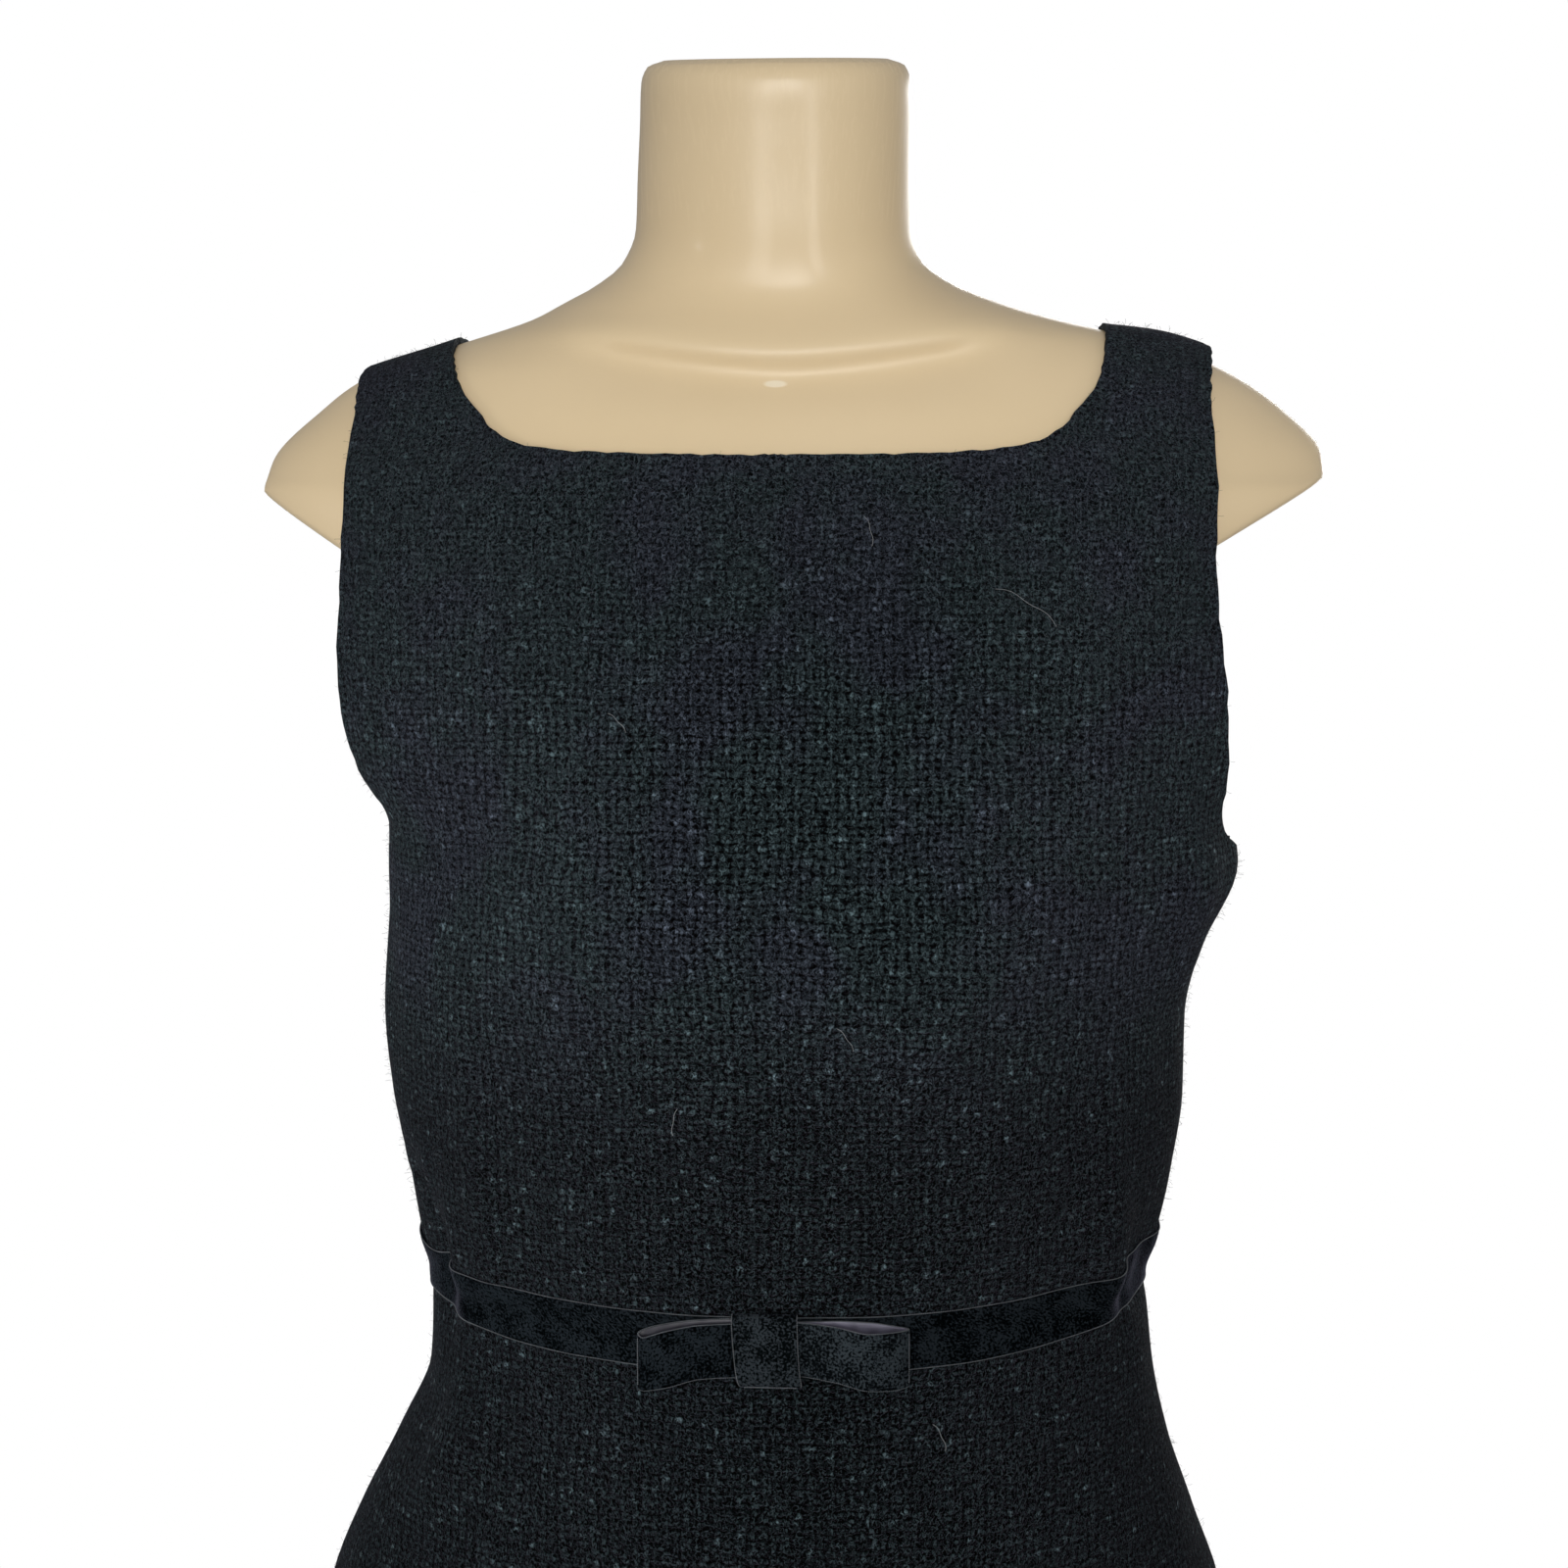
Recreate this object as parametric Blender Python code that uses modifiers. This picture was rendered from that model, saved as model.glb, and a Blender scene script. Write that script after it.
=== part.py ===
"""A sleeveless sheath dress on a headless dress form with a round stand.

+Z is up and the front faces -Y. Left is -X and right is +X, as seen from the front. The origin is on the floor
under the middle of the form. Tables and sizes are in millimetres, and MM turns them to metres.

The cloth and the form are both rings: closed curves at a height, with a width to the left and right, a depth to the
front and back, and a squareness. A turn of 0 degrees is the centre front, 90 the right side and 180 the centre back.
"""

import math
from collections import namedtuple

import bmesh
import bpy
from mathutils import Matrix, Vector

MM = 0.001

# Cloth
CLOTH = 2.0  # wall of a panel
SEAM_GAP = 0.32  # between two sewn pieces
REST_GAP = 0.9  # between the straps and the form under them

# Heights
HEM_Z = 471.0
WAIST_FRONT_Z = 1045.0
WAIST_SIDE_Z = 1054.0
WAIST_BACK_Z = 1050.0
UNDERARM_Z = 1221.0
ARM_TOP_Z = 1401.0  # where the panel's rows end at the armhole and the strap begins

# Columns in half a panel, and the column that runs up into the neck edge of the strap
HALF_COLUMNS = 11
STRAP_COLUMN = 7
BODY_ROWS = 18
STRAP_ROWS = 5
SKIRT_ROWS = 13

Section = namedtuple("Section", "name z left right front back side square")

CLOTH_SECTIONS = (
    Section("hem", 471, 193, 187, 112, 113, 0, 2.2),
    Section("knee", 600, 198, 191, 115, 116, 0, 2.2),
    Section("thigh", 720, 205, 196, 119, 121, 0, 2.2),
    Section("hip", 830, 210, 197, 122, 125, 0, 2.2),
    Section("high hip", 901, 199, 187, 122, 119, 0, 2.2),
    Section("belly", 936, 186, 173.7, 120, 109, 0, 2.2),
    Section("skirt yoke", 972, 168, 161.5, 117, 99, 0, 2.2),
    Section("skirt top", 1003, 153.8, 155, 114.5, 92, 0, 2.2),
    Section("ribbon low", 1030, 151.8, 152.3, 113.5, 87.5, 0, 2.2),
    Section("waist", 1046, 151.3, 150.0, 113.5, 86, 0, 2.2),
    Section("ribbon high", 1060, 155.4, 154.2, 114, 86, 0, 2.2),
    Section("over waist", 1090, 161.3, 160.8, 116, 87.5, 0, 2.2),
    Section("rib", 1122, 168.0, 165.3, 119.5, 90.5, 0, 2.2),
    Section("under bust", 1155, 170.2, 164.8, 123.5, 95, 0, 2.2),
    Section("bust", 1190, 167.3, 172.3, 127, 99.5, 0, 2.2),
    Section("underarm", 1221, 164.3, 185.2, 127.5, 103, 0, 2.2),
    Section("armhole foot", 1236, 165.0, 183.8, 126.5, 104.5, 0, 2.2),
    Section("armhole turn", 1262, 186, 192, 123.5, 106.8, 0, 2.2),
    Section("armhole low", 1294, 199.5, 196, 118, 107.8, 0, 2.2),
    Section("armhole mid", 1317, 203, 196.5, 113, 106.5, 0, 2.2),
    Section("chest", 1348, 207, 200, 103.5, 102.8, 0, 2.2),
    Section("high chest", 1371, 211, 207, 94.5, 100, 0, 2.2),
    Section("collar", 1395, 214, 212, 86, 96.5, 0, 2.2),
)

Ring = namedtuple("Ring", "name z left right front back side square lean")

FORM_RINGS = (
    Ring("foot", 730, 178, 172, 106, 110, 0, 2.2, 0),
    Ring("seat", 830, 196, 186, 113, 115, 0, 2.2, 0),
    Ring("hip", 901, 186, 175, 112, 109, 0, 2.2, 0),
    Ring("belly", 950, 166, 158, 108, 96, 0, 2.2, 0),
    Ring("low waist", 1000, 147, 146, 103, 83, 0, 2.2, 0),
    Ring("waist", 1046, 143, 142, 101, 76, 0, 2.2, 0),
    Ring("rib", 1100, 151, 150, 105, 79, 0, 2.2, 0),
    Ring("under bust", 1155, 156, 155, 112, 86, 0, 2.2, 0),
    Ring("bust", 1195, 156, 158, 116, 92, 0, 2.2, 0),
    Ring("underarm", 1235, 152, 156, 117, 96, 0, 2.2, 0),
    Ring("side chest", 1270, 149, 153, 114.5, 99, 0, 2.2, 0),
    Ring("armpit", 1300, 148, 150, 110, 101, 0, 2.2, 0),
    Ring("arm root", 1321, 153, 152, 105.5, 101, 1, 2.2, 0),
    Ring("arm low", 1335, 196, 194, 102, 99, 2, 1.95, 0),
    Ring("arm mid", 1352, 214, 213, 97, 97, 3, 1.9, 0),
    Ring("arm wide", 1371, 223, 226, 88.5, 91, 4, 1.88, 0),
    Ring("arm tip", 1377, 220, 222, 86, 89.8, 4.7, 1.87, 0),
    Ring("arm high", 1387, 214.5, 218.5, 81.5, 88, 6, 1.86, 0),
    Ring("shoulder end", 1403, 197.5, 203, 75, 86, 8, 1.88, 0),
    Ring("shoulder low", 1416, 180, 185, 68, 84, 10, 1.95, 0),
    Ring("shoulder mid", 1429, 144.5, 156.5, 61, 80, 12, 2.0, 0),
    Ring("shoulder high", 1441, 107.5, 107.5, 56, 75, 12, 2.05, 0),
    Ring("neck root", 1448, 94, 84.5, 54.5, 71, 10, 2.05, 0.05),
    Ring("neck turn", 1455, 80.5, 67, 54, 66, 8, 2.05, 0.08),
    Ring("neck base", 1464, 69, 54.5, 55, 61, 4, 2.05, 0.11),
    Ring("neck low", 1477, 63, 50.5, 57.5, 57, 0, 2.05, 0.13),
    Ring("neck mid", 1498, 61.5, 50, 61, 51, -5, 2.05, 0.13),
    Ring("neck high", 1518, 60, 50, 65, 47, -9, 2.05, 0.14),
    Ring("neck end", 1534, 59, 49, 68, 44, -12, 2.05, 0.15),
    Ring("neck rim", 1540, 56.5, 46.5, 65.5, 41.5, -12, 2.05, 0.15),
    Ring("neck top", 1542.4, 50, 40, 59, 35, -12, 2.05, 0.15),
)

FORM_COLUMNS = 40
FORM_ROW_HEIGHT = 34.0

# The form's arms end in flat faces that slant in under the shoulder
ARM_TIP_X = 218.5
ARM_TIP_Z = {-1: 1370.0, 1: 1376.5}
ARM_FACE_DEGREES = 29.5
ARM_FACE_ROUND = 4.0
ARMPIT_X = 149.5

# The bust, on the form and on the cloth over it
Swell = namedtuple("Swell", "x z radius height")
FORM_BUST = Swell(78, 1195, 46, 8.5)
CLOTH_BUST = Swell(78, 1195, 50, 6.5)

# Edges cut in the bodice: the neck and the armhole, as widths from the middle at a height
Edge = namedtuple("Edge", "z front_left front_right back_left back_right")

ARMHOLE = (
    Edge(1221, 166.8, 186.4, 166.8, 186.4),
    Edge(1225, 164.3, 184.0, 163.5, 183.3),
    Edge(1236, 161.2, 176.6, 158.0, 173.5),
    Edge(1245, 162.8, 174.6, 156.5, 168.5),
    Edge(1254, 166.5, 174.9, 158.5, 167.0),
    Edge(1262, 170.4, 176.0, 162.0, 167.5),
    Edge(1278, 175.3, 175.2, 167.5, 167.5),
    Edge(1294, 177.0, 174.0, 170.0, 167.0),
    Edge(1317, 176.2, 170.7, 172.0, 167.0),
    Edge(1348, 174.5, 168.9, 172.5, 167.5),
    Edge(1371, 173.2, 169.1, 172.5, 168.5),
    Edge(1402, 172.6, 168.3, 172.5, 168.3),
    Edge(1410, 174.3, 169.1, 174.0, 169.1),
    Edge(1419, 177.5, 171.0, 177.5, 171.0),
    Edge(1425, 177.5, 172.0, 177.5, 172.0),
)

NECK = (
    Edge(1401, 119.0, 114.0, 112.0, 108.0),
    Edge(1405, 123.6, 118.0, 117.0, 112.0),
    Edge(1413, 128.8, 123.0, 124.0, 118.5),
    Edge(1421, 132.6, 125.5, 130.0, 123.5),
    Edge(1431, 134.0, 127.4, 134.0, 127.4),
    Edge(1438, 134.0, 128.0, 134.0, 128.0),
)

Neckline = namedtuple("Neckline", "bottom_z corner_z sharpness")
FRONT_NECKLINE = Neckline(1384.3, 1401.0, 7.0)
BACK_NECKLINE = Neckline(1398.0, 1409.0, 5.0)

# Soft folds of the cloth: ridges stand out and troughs go in
Fold = namedtuple("Fold", "name turn_top turn_low z_top z_low width height")

FOLDS = (
    Fold("left underarm ridge", -50, -76, 1290, 1190, 9, 3.0),
    Fold("right underarm ridge", 48, 74, 1275, 1150, 8, 4.0),
    Fold("left waist ridge", -46, -51, 1150, 1010, 8, 3.5),
    Fold("left waist trough", -66, -66, 1110, 1020, 8, -4.5),
    Fold("left hip ridge", -54, -50, 1040, 940, 8, 3.0),
    Fold("right waist ridge", 48, 61, 1130, 1025, 7, 4.5),
    Fold("right waist trough", 68, 76, 1100, 1020, 7, -4.0),
    Fold("left back ridge", -128, -122, 1120, 1000, 9, 3.0),
    Fold("right back ridge", 130, 124, 1110, 985, 9, 3.5),
    Fold("back waist trough", 163, 160, 1100, 1010, 10, -2.0),
    Fold("right skirt ridge", 62, 56, 760, 440, 13, 3.5),
    Fold("left skirt ridge", -64, -57, 740, 440, 13, 4.0),
    Fold("left back skirt ridge", -140, -134, 760, 440, 13, 4.0),
    Fold("right back skirt ridge", 138, 131, 720, 440, 13, 3.5),
)

# Ribbon round the waist
RIBBON_WIDTH = 22.0
RIBBON_WALL = 1.2

# Bow: each row is a place along one loop of ribbon, from the middle out along the back ply, round the end and back
# along the front ply. Out is how far it stands in front of the waist ribbon.
Ply = namedtuple("Ply", "name x out top low")
BOW_X = -3.0
BOW_WALL = 0.8

LEFT_LOOP = (
    Ply("back start", -0.9, 0.8, 1055.6, 1034.6),
    Ply("back quarter", -12, 1.0, 1055.6, 1034.2),
    Ply("back half", -26, 1.3, 1055.3, 1033.2),
    Ply("back three quarters", -38, 1.5, 1053.8, 1031.0),
    Ply("end back", -47, 1.7, 1049.8, 1027.8),
    Ply("end", -49.6, 3.1, 1048.2, 1026.7),
    Ply("end front", -47.6, 4.9, 1047.2, 1026.3),
    Ply("front three quarters", -38.5, 5.4, 1050.6, 1028.4),
    Ply("front half", -25, 4.4, 1053.6, 1032.4),
    Ply("front quarter", -12, 3.4, 1054.4, 1033.4),
    Ply("front start", -0.9, 2.6, 1054.6, 1033.8),
)

RIGHT_LOOP = (
    Ply("back start", 0.9, 0.8, 1054.6, 1034.2),
    Ply("back quarter", 12, 0.9, 1054.9, 1034.0),
    Ply("back half", 26, 1.0, 1055.2, 1033.2),
    Ply("back three quarters", 39, 1.4, 1054.6, 1032.0),
    Ply("end back", 50.5, 2.4, 1052.8, 1030.4),
    Ply("end", 54.6, 4.8, 1052.4, 1030.2),
    Ply("end front", 50.5, 8.6, 1052.8, 1030.2),
    Ply("front three quarters", 40, 10.2, 1052.8, 1030.6),
    Ply("front half", 27, 6.6, 1054.6, 1033.0),
    Ply("front quarter", 13, 3.4, 1055.4, 1034.4),
    Ply("front start", 0.9, 2.6, 1055.2, 1034.6),
)

LOOP_STEPS = 20

# Tab round the middle of the bow: each row is a place down its front, with how far it stands out
TabRow = namedtuple("TabRow", "name z out left right")
TAB = (
    TabRow("top return", 1057.0, 0.4, -12.6, 11.6),
    TabRow("top", 1057.9, 2.6, -12.8, 11.8),
    TabRow("top turn", 1056.0, 4.7, -12.9, 11.9),
    TabRow("upper", 1050.0, 5.4, -12.6, 12.1),
    TabRow("middle", 1043.0, 5.7, -12.0, 12.4),
    TabRow("lower", 1035.5, 5.6, -11.2, 13.0),
    TabRow("bottom turn", 1031.0, 4.6, -10.2, 13.6),
    TabRow("bottom", 1029.8, 2.8, -9.6, 13.2),
    TabRow("bottom return", 1030.6, 0.9, -9.4, 12.8),
)
TAB_WALL = 0.8

# Slit at the bottom of the centre back seam
SLIT_TOP_Z = 660.0
SLIT_OPEN = 5.0

# Zip in the centre back seam: its slider and pull tab, at the top
SLIDER_SIZE = (6.4, 2.6, 9.0)
SLIDER_TOP_BELOW_EDGE = 5.0
SLIDER_GAP = 0.4
LUG_SIZE = (1.2, 2.4, 3.0)
LUG_X = 2.1
PIN_OUT = 1.5  # from the slider's face to the tab's pin
TAB_THICK = 0.9
TAB_NECK_WIDTH = 2.4
TAB_WIDTH = 5.4
TAB_LENGTH = 15.0

# Stand
BASE_RADIUS = 180.0
BASE_HEIGHT = 12.0
BASE_EDGE = 4.0
POLE_RADIUS = 14.0
COLLAR_RADIUS = 28.0
COLLAR_HEIGHT = 30.0
FLANGE_RADIUS = 48.0
FLANGE_HEIGHT = 6.0
TURNED_STEPS = 40


def curve(points):
    """A smooth function through (z, value) pairs, which never swings past its rows."""
    points = sorted(points)
    zs = [p[0] for p in points]
    values = [p[1] for p in points]
    slopes = [(values[i + 1] - values[i]) / (zs[i + 1] - zs[i]) for i in range(len(zs) - 1)]
    tangents = [slopes[0]]
    for before, after in zip(slopes, slopes[1:]):
        same_way = before * after > 0
        tangents.append(2 * before * after / (before + after) if same_way else 0.0)
    tangents.append(slopes[-1])

    def value(z):
        z = min(max(z, zs[0]), zs[-1])
        i = max(k for k in range(len(zs) - 1) if zs[k] <= z)
        span = zs[i + 1] - zs[i]
        t = (z - zs[i]) / span
        rise = (3 - 2 * t) * t * t
        return (
            values[i] * (1 - rise)
            + values[i + 1] * rise
            + span * t * (1 - t) * ((1 - t) * tangents[i] - t * tangents[i + 1])
        )

    return value


def mix(a, b, t):
    return a + (b - a) * t


def ease(t):
    t = min(max(t, 0.0), 1.0)
    return t * t * (3 - 2 * t)


class Rings:
    """A body given by its rings."""

    def __init__(self, rows, bust):
        fields = ("left", "right", "front", "back", "side", "square", "lean")
        for field in fields:
            pairs = [(row.z, getattr(row, field, 0.0)) for row in rows]
            setattr(self, field, curve(pairs))
        self.bust = bust

    def width(self, z, x):
        return self.left(z) if x < 0 else self.right(z)

    def depth(self, z, y_way):
        """From the side line to the front for -1, and to the back for 1."""
        return self.front(z) + self.side(z) if y_way < 0 else self.back(z) - self.side(z)

    def at(self, turn, z):
        """The point at a turn, with no swell or fold."""
        power = 2 / self.square(z)
        s = math.sin(math.radians(turn))
        c = math.cos(math.radians(turn))
        x = math.copysign(self.width(z, s) * abs(s) ** power, s)
        way = -1 if c > 0 else 1
        y = self.side(z) + way * self.depth(z, way) * abs(c) ** power
        return Vector((x, y, z + self.lean(z) * (y - self.side(z))))

    def turn_at(self, x, z, y_way):
        """The turn of the point at x, on the front for -1 and on the back for 1."""
        q = min(abs(x) / self.width(z, x), 1.0)
        turn = math.degrees(math.asin(q ** (self.square(z) / 2)))
        turn = turn if y_way < 0 else 180 - turn
        return math.copysign(turn, x)

    def level(self, x, y, z):
        """1 on the surface, less inside it and more outside."""
        z = z - self.lean(z) * (y - self.side(z))
        n = self.square(z)
        across = abs(x) / self.width(z, x)
        along = abs(y - self.side(z)) / self.depth(z, y - self.side(z))
        return across**n + along**n

    def normal(self, point):
        step = 0.2
        slope = []
        for axis in range(3):
            ahead = point.copy()
            ahead[axis] += step
            behind = point.copy()
            behind[axis] -= step
            slope.append(self.level(*ahead) - self.level(*behind))
        return Vector(slope).normalized()

    def swell(self, point):
        """How far the bust lifts a point of the front."""
        if point.y > self.side(point.z):
            return 0.0
        away = math.hypot(abs(point.x) - self.bust.x, point.z - self.bust.z)
        return self.bust.height * math.exp(-((away / self.bust.radius) ** 2))


FORM = Rings(FORM_RINGS, FORM_BUST)
RAISE = CLOTH + REST_GAP


class Cloth(Rings):
    """The outside of the dress. Over the shoulders it is the form, raised by the cloth that lies on it."""

    def __init__(self, rows, bust):
        super().__init__(rows, bust)
        top, own_top = rows[-1].z, rows[-2].z
        raise_by = {"front": RAISE, "back": RAISE}
        for field in ("left", "right", "front", "back", "side", "square"):
            setattr(self, field, self.onto_form(field, raise_by.get(field, 0.0), own_top, top))

    def onto_form(self, field, more, low, high):
        own = getattr(self, field)
        form = getattr(FORM, field)

        def value(z):
            return mix(own(z), form(z - RAISE) + more, ease((z - low) / (high - low)))

        return value


DRESS = Cloth(CLOTH_SECTIONS, CLOTH_BUST)


def fold_height(turn, z):
    total = 0.0
    for fold in FOLDS:
        if not fold.z_low < z < fold.z_top:
            continue
        t = (z - fold.z_low) / (fold.z_top - fold.z_low)
        away = (turn - mix(fold.turn_low, fold.turn_top, t)) / fold.width
        total += fold.height * math.exp(-away * away) * math.sin(math.pi * t) ** 2
    return total


def waist_z(turn):
    """Height of the waist seam: it rises to the sides, where the hips carry it."""
    middle = WAIST_FRONT_Z if abs(turn) <= 90 else WAIST_BACK_Z
    return mix(middle, WAIST_SIDE_Z, abs(math.sin(math.radians(turn))) ** 2.2)


class Sheet:
    """Outside points of a piece of cloth with their outward directions, and the quads between them."""

    def __init__(self):
        self.points = {}
        self.out = {}
        self.quads = []

    def add(self, key, turn, z, off=0.0):
        bare = DRESS.at(turn, z)
        out = DRESS.normal(bare)
        self.points[key] = bare + out * (DRESS.swell(bare) + fold_height(turn, z) + off)
        self.out[key] = out

    def move(self, keys, vector):
        for key in keys:
            self.points[key] = self.points[key] + Vector(vector)

    def cells(self, rows, columns, key, rising):
        """Quads of a grid. Rising says that the turn grows along its columns."""
        for i in rows:
            for j in columns:
                ring = [key(i, j), key(i, j + 1), key(i + 1, j + 1), key(i + 1, j)]
                self.quads.append(ring if rising else ring[::-1])


def make_object(name, bm, material, collection):
    mesh = bpy.data.meshes.new(name)
    bm.to_mesh(mesh)
    bm.free()
    mesh.materials.append(material)
    obj = bpy.data.objects.new(name, mesh)
    collection.objects.link(obj)
    return obj


def add_wall(name, sheet, wall, material, collection):
    """A closed wall of even thickness behind the points of a sheet.

    Both faces of a quad start at the same corner, so that both split along the same diagonal.
    """
    bm = bmesh.new()
    outer = {key: bm.verts.new(p * MM) for key, p in sheet.points.items()}
    inner = {key: bm.verts.new((p - sheet.out[key] * wall) * MM) for key, p in sheet.points.items()}
    used = {}
    for quad in sheet.quads:
        bm.faces.new([outer[key] for key in quad])
        bm.faces.new([inner[quad[k]] for k in (0, 3, 2, 1)])
        for a, b in zip(quad, quad[1:] + quad[:1]):
            used[(a, b)] = True
    for a, b in used:
        if (b, a) not in used:
            bm.faces.new([outer[b], outer[a], inner[a], inner[b]])
    obj = make_object(name, bm, material, collection)
    obj.data.shade_smooth()
    obj.data.set_sharp_from_angle(angle=math.radians(50))
    return obj


# Panels


def edge_curve(rows, side, y_way):
    field = ("front" if y_way < 0 else "back") + ("_left" if side < 0 else "_right")
    return curve([(row.z, getattr(row, field)) for row in rows])


def ridge_z(x):
    """Height of the cloth's shoulder ridge over a width x."""
    low, high = 1398.0, 1500.0
    for _ in range(40):
        middle = (low + high) / 2
        if DRESS.width(middle, x) > abs(x):
            low = middle
        else:
            high = middle
    return low


def bodice_half(sheet, side, y_way):
    """Half of a bodice panel, from the centre line to the side seam, the armhole and the shoulder seam."""
    neckline = FRONT_NECKLINE if y_way < 0 else BACK_NECKLINE
    armhole = edge_curve(ARMHOLE, side, y_way)
    neck = edge_curve(NECK, side, y_way)
    corner_x = neck(neckline.corner_z)
    split = STRAP_COLUMN / HALF_COLUMNS

    def lean_angle(x, z):
        turn = abs(DRESS.turn_at(side * x, z, y_way))
        return turn if y_way < 0 else 180 - turn

    def to_turn(angle):
        return side * (angle if y_way < 0 else 180 - angle)

    edge_angle = lean_angle(armhole(ARM_TOP_Z), ARM_TOP_Z)
    corner_share = lean_angle(corner_x, neckline.corner_z) / edge_angle

    def row_edge(t):
        if t <= 0.5:
            return mix(waist_z(90) + RIBBON_WIDTH / 2, UNDERARM_Z, t / 0.5)
        return mix(UNDERARM_Z, ARM_TOP_Z, ((t - 0.5) / 0.5) ** 1.6)

    def row_z(t, f):
        start = waist_z(to_turn(0)) + RIBBON_WIDTH / 2
        return mix(mix(start, neckline.bottom_z, t), row_edge(t), f * f)

    def key(i, j):
        return (side if j else 0, i, j)

    strap_start = {}
    for i in range(1, BODY_ROWS + 1):
        t = (i - 1) / (BODY_ROWS - 1)
        last_angle = 90.0 if t <= 0.5 else lean_angle(armhole(row_edge(t)), row_edge(t))
        share = mix(split, corner_share, t * t)
        for j in range(HALF_COLUMNS + 1):
            f = j / HALF_COLUMNS
            if f <= split:
                part = share * f / split
            else:
                part = mix(share, 1.0, (f - split) / (1 - split))
            angle = last_angle * part
            if f <= split:
                x_share = math.sin(math.radians(angle)) / math.sin(math.radians(last_angle * share))
                top = mix(neckline.bottom_z, neckline.corner_z, x_share**neckline.sharpness)
            else:
                top = mix(neckline.corner_z, ARM_TOP_Z, (f - split) / (1 - split))
            bottom = waist_z(to_turn(angle)) + RIBBON_WIDTH / 2
            z = row_z(t, f) + t**4 * (top - row_z(1, f)) + (1 - t) ** 4 * (bottom - row_z(0, f))
            sheet.add(key(i, j), to_turn(angle), z)
            if i == BODY_ROWS and j >= STRAP_COLUMN:
                strap_start[j] = (abs(DRESS.at(to_turn(angle), z).x), z)
    for j in range(HALF_COLUMNS + 1):
        turn = to_turn(90.0 * j / HALF_COLUMNS)
        sheet.add(key(0, j), turn, waist_z(turn) + SEAM_GAP / 2)
    rising = (y_way < 0) == (side > 0)
    sheet.cells(range(BODY_ROWS), range(HALF_COLUMNS), key, rising)

    x_corner, z_corner = strap_start[STRAP_COLUMN]
    x_edge, z_edge = strap_start[HALF_COLUMNS]
    neck_top = ridge_z(side * neck(2000))
    arm_top = ridge_z(side * armhole(2000))
    for k in range(1, STRAP_ROWS + 1):
        short = (1 - k / STRAP_ROWS) ** 2
        x_neck = neck(mix(neck_top, z_corner, short))
        x_arm = armhole(mix(arm_top, z_edge, short))
        for j in range(STRAP_COLUMN, HALF_COLUMNS + 1):
            x_start, z_start = strap_start[j]
            x = mix(x_neck, x_arm, (x_start - x_corner) / (x_edge - x_corner))
            z = mix(ridge_z(side * x), z_start, short)
            angle = 90.0 if k == STRAP_ROWS else lean_angle(x, z)
            sheet.add(key(BODY_ROWS + k, j), to_turn(angle), z)
    top_rows = range(BODY_ROWS, BODY_ROWS + STRAP_ROWS)
    sheet.cells(top_rows, range(STRAP_COLUMN, HALF_COLUMNS), key, rising)

    shoulder = [key(BODY_ROWS + STRAP_ROWS, j) for j in range(STRAP_COLUMN, HALF_COLUMNS + 1)]
    side_seam = [key(i, HALF_COLUMNS) for i in range((BODY_ROWS + 1) // 2 + 1)]
    sheet.move(shoulder + side_seam, (0, y_way * SEAM_GAP / 2, 0))


def skirt_half(sheet, side, y_way):
    def to_turn(angle):
        return side * (angle if y_way < 0 else 180 - angle)

    def key(i, j):
        return (side if j else 0, i, j)

    for i in range(SKIRT_ROWS + 1):
        t = 1 - (1 - i / (SKIRT_ROWS - 1)) ** 1.35 if i < SKIRT_ROWS else 1.0
        for j in range(HALF_COLUMNS + 1):
            turn = to_turn(90.0 * j / HALF_COLUMNS)
            under = SEAM_GAP / 2 if i == SKIRT_ROWS else RIBBON_WIDTH / 2
            sheet.add(key(i, j), turn, mix(HEM_Z, waist_z(turn) - under, t))
    sheet.cells(range(SKIRT_ROWS), range(HALF_COLUMNS), key, (y_way < 0) == (side > 0))
    seam = [key(i, HALF_COLUMNS) for i in range(SKIRT_ROWS + 1)]
    sheet.move(seam, (0, y_way * SEAM_GAP / 2, 0))


def part_at_centre(sheet, side):
    """Pulls a back panel off the centre back seam, and opens the slit below it."""
    for key, point in sheet.points.items():
        if key[0] == 0:
            opened = SLIT_OPEN / 2 * ease((SLIT_TOP_Z - point.z) / (SLIT_TOP_Z - HEM_Z))
            point.x += side * (SEAM_GAP / 2 + opened)


def add_dress(materials, collection):
    for part, half in (("bodice", bodice_half), ("skirt", skirt_half)):
        front = Sheet()
        half(front, -1, -1)
        half(front, 1, -1)
        add_wall(part + "_front", front, CLOTH, materials["boucle"], collection)
        for side, word in ((-1, "left"), (1, "right")):
            back = Sheet()
            half(back, side, 1)
            part_at_centre(back, side)
            add_wall(f"{part}_back_{word}", back, CLOTH, materials["boucle"], collection)


def add_waist_ribbon(material, collection):
    """The ribbon sewn over the waist seam, all the way round to the centre back."""
    sheet = Sheet()
    half = 2 * HALF_COLUMNS
    for i in range(3):
        for j in range(-half, half + 1):
            turn = 180.0 * j / half
            z = waist_z(turn) + (i - 1) * RIBBON_WIDTH / 2
            sheet.add((i, j), turn, z, SEAM_GAP + RIBBON_WALL)
    sheet.cells(range(2), range(-half, half), lambda i, j: (i, j), True)
    for end, way in ((-half, -1), (half, 1)):
        sheet.move([(i, end) for i in range(3)], (way * SEAM_GAP, 0, 0))
    add_wall("waist_ribbon", sheet, RIBBON_WALL, material, collection)


# Bow


def ribbon_face_y(x, z):
    """How far forward the face of the waist ribbon is."""
    turn = DRESS.turn_at(x, z, -1)
    return DRESS.at(turn, z).y - SEAM_GAP - RIBBON_WALL


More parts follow.
